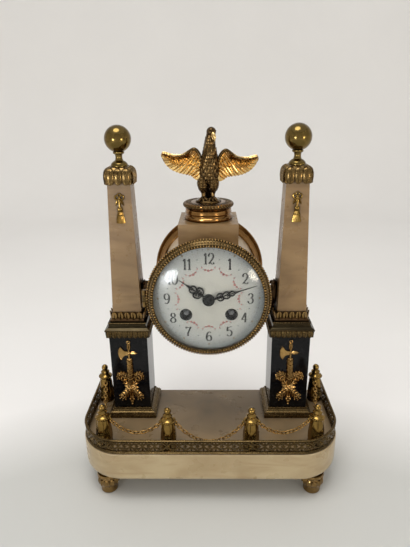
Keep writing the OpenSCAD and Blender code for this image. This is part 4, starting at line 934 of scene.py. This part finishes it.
def build_eagle_plinth():
    r, lobes = 24.2, 46
    k = Kit(place(0, AXIS_Y, BLOCK_Z))
    k.lathe(inset(r, [
        (r, 0), (2.4, 0), (1.9, 0.6), (1.8, 2), (1.9, 3), (2.8, 3.8), (3.3, 4.6), (3.2, 5.4), (2.7, 6),
        (2.6, 7.2), (3, 7.9), (2.9, 8.5), (2.8, 9.6), (3.6, 10.6), (3.2, 11.3), (1.9, 12), (1.4, 12.8),
        (1.2, 13.9), (1.4, 15), (2.4, 15.7), (3.6, 15.9), (r, 16)]), 96)
    piece("eagle_plinth_turning", k, WARM, ["eagle_plinth"])
    k = Kit(place(0, AXIS_Y, BLOCK_Z))
    lobe = (14.4, 15.2), (17.4, 15.7), (20.2, 15.6), (22.2, 14.8), (22.9, 13.6), (22.4, 12.5), (21.2, 11.8)
    for t in turns(lobes):
        d = polar(t)
        run = curve([polar(t, a, z) for a, z in lobe], 3)
        out = [Z.lerp(d if j < 12 else d - Z * 0.6, min(j / 10, 1)) for j in range(len(run))]
        wide = [0.47 * TAU / lobes * hypot(p.x, p.y) for p in run]
        k.sweep(run, wide, [0.5 * w for w in wide], out, seg=10)
    piece("plinth_gadroon", k, EAGLE)


build_bezel()
build_glass()
build_rear_ring()
build_rear_door()
build_eagle_plinth()


# Dial painting and hands

# Strokes of each numeral, in hundredths of its width and height
DIGITS = {
    "0": [[(0, 100), (-40, 74), (-40, 26), (0, 0), (40, 26), (40, 74)]],
    "1": [[(-26, 80), (-6, 92), (4, 100)], [(4, 100), (4, 50), (4, 0)], [(-20, 1), (4, 0), (28, 1)]],
    "2": [[(-30, 70), (-38, 82), (-20, 98), (10, 100), (36, 80), (28, 56), (-6, 26), (-40, 4)],
          [(-40, 4), (-16, 14), (12, 2), (34, 2), (44, 16)]],
    "3": [[(-34, 82), (-14, 98), (14, 98), (34, 80), (22, 60), (-6, 54)],
          [(-6, 54), (26, 50), (42, 28), (22, 3), (-12, 0), (-38, 16), (-30, 24)]],
    "4": [[(14, 100), (-16, 66), (-46, 30)], [(-46, 30), (0, 28), (46, 30)], [(14, 100), (14, 50), (14, 0)]],
    "5": [[(-28, 97), (6, 95), (38, 100)], [(-28, 97), (-32, 76), (-34, 54)],
          [(-34, 54), (-4, 64), (30, 54), (42, 30), (22, 3), (-12, 0), (-38, 14)]],
    "6": [[(32, 90), (10, 99), (-22, 84), (-42, 44), (-32, 12), (0, 0), (32, 10), (40, 32), (26, 54), (0, 58),
           (-28, 46), (-40, 30)]],
    "7": [[(-42, 82), (-36, 98), (-10, 93), (16, 93), (42, 100)], [(42, 100), (10, 60), (-8, 30), (-10, 0)]],
    "8": [[(0, 54), (-30, 68), (-28, 90), (0, 100), (28, 90), (30, 70), (0, 54), (-36, 38), (-36, 12), (0, 0),
           (36, 12), (36, 38)]],
}
DIGITS["9"] = [[(-x, 100 - y) for x, y in DIGITS["6"][0]]]
CLOSED_DIGITS = "08"


def dome(x, y):
    """Height of the enamel's face above its datum, towards the viewer."""
    return 1.4 + 3.2 * (1 - (x * x + y * y) / 49.5 ** 2)


def dot(kit, p, rim, face, seg, wave=0):
    """Raised dot on the dial, or a floret of five lobes."""
    rise, peak = (0.07, 0.1) if wave else (0.06, 0.08)
    kit.lathe([(rim, -0.06), (face, rise), (0, peak)], seg, at=(p.x, p.y, dome(p.x, p.y)), wave=wave, lobes=5)


def paint_numerals(kit):
    wide, tall = 0.054, 0.096
    for hour in range(1, 13):
        c = polar(radians(90 - 30 * hour), 37.2)
        label = str(hour)
        gap = 4 if label == "11" else 4.9
        for i, ch in enumerate(label):
            left = c.x + (i - (len(label) - 1) / 2) * gap
            for pts in DIGITS[ch]:
                line = [(left + x * wide, c.y + (y - 50) * tall) for x, y in pts]
                stroke(kit, line, 0.5, 1.6, -0.06, 0.06, dome, ch in CLOSED_DIGITS)


def paint_swags(flowers, twigs):
    """Swags inside the numerals, left out where the winding holes are."""

    def clear(p):
        return hypot(abs(p.x) - ARBOR_X, p.y + ARBOR_DROP) >= 7

    def twig(p, q, bow, lo, hi):
        stroke(twigs, [p, (p + q) / 2 + X * bow, q], lo, hi, -0.05, 0.05, dome, nib=False)

    for hour in range(12):
        out = polar(radians(90 - 30 * hour))
        across = Vector((out.y, -out.x, 0))
        for j in range(-4, 5):
            p = out * (29.1 - 0.16 * (16 - j * j)) + across * j * 1.4
            if clear(p) and j % 2 == 0:
                size = 1.3 - 0.15 * abs(j)
                dot(flowers, p, size, size * 0.9, 15, 0.22)
            elif clear(p):
                twig(p, p + out * (0.9 if abs(j) == 1 else -0.7) + across * 0.5, 0.1, 0.25, 0.7)
        for s in (-1, 1):
            a, b = out * 28.8 + across * s * 5.4, out * 30.9 + across * s * 6
            if clear(a) and clear(b):
                twig(a, b, 0.3 * s, 0.2, 0.6)


def paint_marks(blue, gold):
    """Minute dots and florets near the rim, and a dot between every two hours."""
    for i, t in enumerate(turns(60)):
        if i % 5 == 0:
            dot(gold, polar(t, 45.4), 1.05, 0.95, 15, 0.25)
        else:
            dot(blue, polar(t, 45.4), 0.5, 0.45, 10)
        if i % 5 in (2, 3):
            dot(gold, polar(t, 43.2), 0.4, 0.36, 8)
    for t in turns(12, 0.5):
        dot(blue, polar(t, 37.6), 0.62, 0.55, 12)


def build_dial():
    black, pink, blue, gold, dark = (Kit(drum_at(DIAL_Y)) for _ in range(5))
    paint_numerals(black)
    paint_swags(pink, blue)
    paint_marks(blue, gold)
    piece("dial_numerals", black, INK, sharp=60)
    piece("dial_swags", pink, PINK, sharp=60)
    piece("dial_blue_marks", blue, BLUE, sharp=60)
    piece("dial_gold_marks", gold, GOLD, sharp=60)
    # dark grommets round the two winding holes, and a dark disc inside each hole that is painted shade
    z = dome(ARBOR_X, ARBOR_DROP)
    lip = [(4.6, -2.4), (5, -2.4), (5, z - 0.1), (5.7, z - 0.1), (5.7, z + 0.35), (5.2, z + 0.5),
           (4.6, z + 0.2)]
    # Painted shade: a dark disc behind the dial fills each winding hole round its arbor.
    floor = [(2.6, -2.3), (4.8, -2.3), (4.8, -1.9), (2.6, -1.9)]
    for x in (-ARBOR_X, ARBOR_X):
        dark.lathe(lip, 48, True, at=(x, -ARBOR_DROP, 0))
        dark.lathe(floor, 40, True, at=(x, -ARBOR_DROP, 0))
    piece("winding_grommets", dark, GROMMET_AND_HOLE_SHADE)


def hand(level, angle, rim, eye, scrolls, bars, studs):
    """Pierced hand: a boss, scrolls to both sides, tapering bars and round studs."""
    k = Kit(drum_at(level) @ Matrix.Rotation(-radians(angle), 4, "Z"))
    k.lathe([(eye, 0), (rim, 0), (rim, 0.45), (rim - 0.4, 0.7), (eye, 0.7)], 48, True)
    for pts in scrolls:
        for s in (-1, 1):
            stroke(k, [(s * x, y) for x, y in pts], 0.55, 1.35, 0, 0.62, nib=False, steps=6)
    for a, b, w0, w1 in bars:
        k.loops([[(-w, y, 0), (w, y, 0), (w, y, 0.6), (-w, y, 0.6)] for w, y in ((w0, a), (w1, b))])
    for x, y, r in studs:
        for s in ((-1, 1) if x else (1,)):
            k.lathe([(r, 0), (r, 0.5), (r * 0.7, 0.68), (0, 0.7)], 18, at=(s * x, y, 0))
    return k


def build_hands():
    k = hand(
        -32.9, 306, 5.5, 3.25,
        [[(0.2, 7.6), (3.2, 7.8), (5.1, 10.4), (4.6, 13.4), (2.4, 14), (1.6, 12.3), (2.8, 11.4), (3.4, 12.2)],
         [(0.3, 13.2), (2.6, 15.2), (3.2, 17.6), (1.6, 19.6), (0.5, 18.4), (1.3, 17.4)],
         [(0.3, 5.2), (0.5, 9), (0.3, 13.6)], [(0.2, 9.6), (1.8, 9.2), (2.2, 10.4)]],
        [(13, 20.5, 0.45, 0.75), (20.4, 24, 1.25, 0.55), (23.9, 32.4, 0.5, 0.16)],
        [(5.2, 10.6, 0.8), (3.3, 17.6, 0.7), (0, 20.6, 1.2), (1.9, 14.4, 0.7)])
    piece("pierced_hour_hand", k, BLACK, ["hour_hand"], 40, "hour")
    k = hand(
        -34.4, 72, 5.3, 2.25,
        [[(0.2, 8), (2.2, 8.4), (3.4, 10.6), (2.6, 13.2), (1, 12.8), (1.5, 11.2)],
         [(0.3, 13), (2.4, 14.6), (3.1, 17), (1.8, 19.4), (0.7, 18.2), (1.5, 16.8)],
         [(0.3, 19), (1.8, 20.6), (1.9, 22.6), (0.3, 24.6)], [(0.3, 5), (0.5, 9), (0.3, 12.6)]],
        [(12, 24.5, 0.4, 0.4), (24.4, 28, 1.15, 0.5), (27.9, 44.4, 0.46, 0.14)],
        [(3.3, 10.8, 0.7), (3.1, 17, 0.65), (0, 24.6, 1.1), (0, 19.4, 0.9)])
    k.lathe([(0, 0.7), (2.8, 0.7), (2.8, 1.5), (2.3, 1.85), (0, 1.9)], 36)
    piece("pierced_minute_hand", k, BLACK, ["minute_hand"], 40, "minute")


build_dial()
build_hands()


# Eagle

# Middle, height, half width and half depth of the body, from the tail to the crown
SPINE = [
    (0, 2.6, 12.5, 3, 3), (0, 2.4, 14.5, 5.6, 5.2), (0, 1.8, 17.5, 6.9, 6.4), (0, 0.6, 21, 7.7, 7.2),
    (0, -0.4, 25, 7.9, 7.4), (0, -1, 30, 7.5, 6.9), (0, -1.3, 35, 6.6, 6), (-0.1, -1.5, 40, 5.6, 5.1),
    (-0.3, -1.8, 45, 4.5, 4.3), (-0.3, -2, 49, 3.8, 3.7), (-0.2, -2.3, 52, 3.5, 3.6), (0, -2.6, 55, 3.4, 3.6),
    (0.1, -2.8, 57.6, 2.7, 2.9), (0.1, -2.8, 59.4, 1, 1)]
WING_TOP = [
    (5, 1.2, 27), (7.2, 1.4, 34.4), (10, 1.7, 40), (13.4, 2, 42.2), (17.4, 2.4, 40.2), (22, 2.8, 36.8),
    (28, 3, 35.8), (34, 3.1, 36.4), (40, 3.2, 37.8)]
WING_LOW = [
    (8.6, 2.2, 16.2), (12, 2.5, 17.4), (15.4, 2.8, 20.2), (19.6, 3.2, 21), (25, 3.6, 21.8), (30.6, 4, 23.6),
    (35.6, 4.2, 26.8), (39.2, 4.2, 31.4), (41, 3.8, 36.2)]
# Feathers in each row of a wing, where the row starts and ends, its thickness and its lean
WING_ROWS = (15, 0.42, 1.03, 0.6, 0.15), (17, 0.2, 0.66, 0.8, 0.13), (20, 0.02, 0.36, 0.9, 0.1)


def girth(z):
    """Row of SPINE at any height."""
    for p, q in zip(SPINE, SPINE[1:]):
        if p[2] <= z <= q[2]:
            f = (z - p[2]) / (q[2] - p[2])
            return [a + (b - a) * f for a, b in zip(p, q)]
    return SPINE[-1]


def down(k, root, a, lean, long, wide, thick):
    """One small feather that hangs at an angle round the body or a leg."""
    k.leaf(root, polar(a, lean, -1), polar(a), long, wide, thick, blunt=0.45, rib=0.3, nu=5)


def eagle_body(k):
    """Body with overlapping feathers on breast, back and neck."""
    rows = []
    for f in shares(44):
        x, y, z, rx, ry = girth(12.5 + 46.9 * f)
        rows.append([(x + rx * cos(a), y + ry * sin(a), z) for a in turns(32)])
    k.loops(rows)
    for row in range(14):
        x, y, z, rx, ry = girth(14.5 + 2.7 * row)
        count = max(int(TAU * (rx + ry) / 2 / 3), 7)
        for a in turns(count, 0.5 * (row % 2)):
            root = (x + (rx - 0.35) * cos(a), y + (ry - 0.35) * sin(a), z + 2.4)
            down(k, root, a, 0.05, 4.8, 3.5, 0.45)


def eagle_head(k, bright):
    """Head with brows and eyes, and a hooked beak towards the viewer's right."""
    k.ball((0.5, -3.2, 55.7), (4, 4.3, 3.9), 24, 14)
    # Painted highlight: the beak is made in the bright feather gilt, lighter than the head, so it shows as a
    # light spot on the face.
    bright.sweep(curve([(1.3, -5.6, 54.8), (2.6, -7.4, 53.8), (3.5, -8.4, 51.8), (3.5, -8.3, 48.6)], 4),
                 [1.7, 1.65, 1.6, 1.55, 1.5, 1.4, 1.3, 1.2, 1.05, 0.9, 0.7, 0.5, 0.2], seg=14)
    bright.sweep([(1.1, -5.6, 52.6), (2.2, -7, 51.2), (2.7, -7.5, 50)], [1.2, 0.9, 0.3])
    for q in (Vector((-1.5, -6.6, 55.8)), Vector((3.4, -5.6, 55.8))):
        k.ball(q, 0.9, 10, 6)
        k.ball(q + Y * 0.5 + Z, (1.2, 1, 0.5), 10, 6)


def eagle_wing(k, bright, s):
    """Curved panel with a rolled leading edge and three rows of feathers on the front and on the back."""
    top, low = (curve([(s * x, y, z) for x, y, z in line], 5) for line in (WING_TOP, WING_LOW))
    n = len(top) - 1

    def spot(u, v):
        i = min(int(u * n), n - 1)
        f = u * n - i
        return top[i].lerp(top[i + 1], f).lerp(low[i].lerp(low[i + 1], f), v)

    def half(u, v):
        return 0.3 + 1.3 * (1 - 0.55 * u) * sin(pi * (0.12 + 0.8 * v))

    round_trip = [(v, -Y) for v in shares(6)] + [(v, Y) for v in shares(6)[::-1]]
    bright.loops([[spot(u, v) + face * half(u, v) for v, face in round_trip] for u in shares(n)])
    for face in (-Y, Y):
        for count, v0, v1, thick, lean in WING_ROWS:
            near = 0.5 / count
            for i in range(count):
                u = (i + 0.5) / count * 0.97
                a = spot(u, v0) + face * (half(u, v0) - 0.3)
                along = spot(min(u + lean, 1), v1) + face * (half(u, min(v1, 1)) - 0.05) - a
                wide = max(1.5 * (spot(min(u + near, 1), v1) - spot(max(u - near, 0), v1)).length, 2.4)
                root = a + face * 0.2 * (i % 2)
                bright.leaf(root, along, face, along.length, wide, thick, 0.06, blunt=0.35, rib=0.6, nu=8)
    edge = [q - Y * 0.3 - Z * 0.4 for q in top[2:int(n * 0.93)]]
    fade = shares(len(edge) - 1)
    k.sweep(edge, [1.5 - 0.8 * f for f in fade], [2.4 - 1.3 * f for f in fade], [-Y] * len(edge), seg=12)


def eagle_leg(k, s):
    """Feathered thigh, shank and four toes."""
    for i, f in enumerate(shares(8)):
        c = Vector((s * (4.8 - 0.4 * f), -1.6 - 1.6 * f, 18 - 9 * f))
        r = 4.9 * sin(pi * (0.28 + 0.6 * f)) ** 1.1
        k.ball(c, (r, r, 2.4), 16, 8)
        for a in turns(9, 0.5 * (i % 2)):
            down(k, c + polar(a, r - 0.45, 1.4), a, -0.15, 4, 3.1, 0.35)
    k.sweep([(s * 4.4, -2.4, 10), (s * 3.9, -2.8, 6), (s * 4, -3, 2.4)], [2.2, 1.8, 2])
    heel = Vector((s * 4, -3, 0))
    for x, y in ((-3, -5.4), (0, -6.4), (3, -5.4), (0, 3.4)):
        toe = [(0, 0, 3.2), (x * 0.5, y * 0.5, 3.2), (x, y * 0.85, 2.2), (x * 1.1, y, 1.2)]
        k.sweep(curve([heel + Vector(p) for p in toe], 4),
                [1.6, 1.6, 1.5, 1.5, 1.6, 1.4, 1.3, 1.3, 1.3, 1, 0.7, 0.5, 0.25])


def build_eagle():
    foot = place(0, AXIS_Y, EAGLE_Z) @ Matrix.Diagonal((1.08, 1.08, 1.11, 1))
    lean = foot @ Matrix.Rotation(radians(2.5), 4, "Y")
    k, bright = Kit(lean), Kit(lean)
    eagle_body(k)
    eagle_head(k, bright)
    for s in (-1, 1):
        eagle_wing(k, bright, s)
    k.at(foot)
    for x in (i * 1.9 for i in range(-3, 4)):
        k.leaf((x * 0.5, 3.6, 15.5), (x * 0.26, 3.4, -14.2), (0, 1, 0.3), 15, 4.2, 1, blunt=0.3, rib=0.5)
    for s in (-1, 1):
        eagle_leg(k, s)
    k.lathe([(0, 0), (11, 0), (11, 0.9), (10.4, 1.5), (9, 1.7), (0, 1.7)], 60, wave=0.02, lobes=9)
    piece("spread_eagle", k, EAGLE, ["eagle"], 50)
    piece("eagle_feathers", bright, FEATHER, sharp=50)


build_eagle()


# Stage, light and camera

def build_stage():
    """Paper floor that bends up into a wall all round, darker in front of the clock by painted shade."""
    flat, bend, high, seg = 1250, 500, 1900, 96
    line = [(160, 0), (320, 0), (640, 0), (flat, 0)]
    line += [(flat + bend * sin(pi / 2 * f), bend - bend * cos(pi / 2 * f)) for f in shares(16)[1:]]
    line += [(flat + bend + 60, high)]
    faces = [[i * seg + j, i * seg + (j + 1) % seg, (i + 1) * seg + (j + 1) % seg, (i + 1) * seg + j]
             for i in range(len(line) - 1) for j in range(seg)] + [list(range(seg))[::-1]]
    me = bpy.data.meshes.new("studio_floor")
    me.from_pydata([tuple(polar(a, r, z) * MM) for r, z in line for a in turns(seg)], [], faces)
    s = Shader("studio_paper", 0.8)
    # Painted shade: the paper is darkened near the front, standing for light falling off there.
    near, mid, far = (0.46, lin(200, 200, 196)), (0.58, lin(239, 237, 235)), (1, lin(238, 236, 233))
    tone = s.ramp(s.distance(s.place, (0, -0.45, 0)), near, mid, far)
    mottle = s.ramp(s.noise(3), (0.3, 0.97), (0.7, 1))
    coat(me, s.finish(s.mix(tone, mottle)), 180)
    ob = link("studio_floor", me)


def lamp(name, spot, aim, size, power, color):
    data = bpy.data.lights.new(name, "AREA")
    data.shape = "ELLIPSE"
    data.size, data.size_y = size
    data.energy = power
    data.color = color
    ob = link(name, data)
    ob.location = spot
    ob.rotation_mode = "QUATERNION"
    ob.rotation_quaternion = (Vector(aim) - Vector(spot)).to_track_quat("-Z", "Y")


def build_light():
    """Soft room, brightest overhead, with a window, a lamp and a soft light from above."""
    world = bpy.data.worlds.new("studio")
    bpy.context.scene.world = world
    world.use_nodes = True
    w = Nodes(world.node_tree)
    axes = w.node("SeparateXYZ", Vector=w.node("TexCoord").outputs["Generated"])
    sky = world.node_tree.nodes["Background"].inputs
    w.feed(sky["Color"], (1, 1, 1, 1))
    w.feed(sky["Strength"], w.span(axes.outputs["Z"], 0.3, 0.75, -0.1, 0.9))
    lamp("window_left", (-0.7, -1.12, 0.22), (0, 0, 0.18), (0.34, 0.27), 4.7, (0.93, 0.97, 1))
    lamp("lamp_right", (0.87, -1, 0.24), (0, 0, 0.18), (0.28, 0.26), 3, (1, 0.9, 0.76))
    lamp("soft_top", (-0.15, -0.25, 1.5), (0, 0.05, 0.1), (0.8, 0.8), 9, (1, 0.99, 0.97))


def build_camera():
    """Camera of the photograph; its focal length was fitted in pixels of the photograph's height."""
    yaw, pitch, roll = (radians(a) for a in (-1.13, 19.47, -0.7))
    focal_px, photo_h, sensor = 465.9, 547, 36
    ahead = Vector((sin(yaw) * cos(pitch), cos(yaw) * cos(pitch), -sin(pitch)))
    right = Vector((cos(yaw), -sin(yaw), 0))
    up = right.cross(ahead)
    x = cos(roll) * right + sin(roll) * up
    y = -sin(roll) * right + cos(roll) * up
    data = bpy.data.cameras.new("camera")
    data.sensor_width = sensor
    data.lens = focal_px * sensor / photo_h
    data.clip_start, data.clip_end = 0.02, 20
    ob = link("camera", data)
    ob.matrix_world = basis((0.00462, -0.4148, 0.35685), x, y, -ahead)
    bpy.context.scene.camera = ob


build_stage()
build_light()
build_camera()
bpy.context.scene.view_settings.view_transform = "Standard"
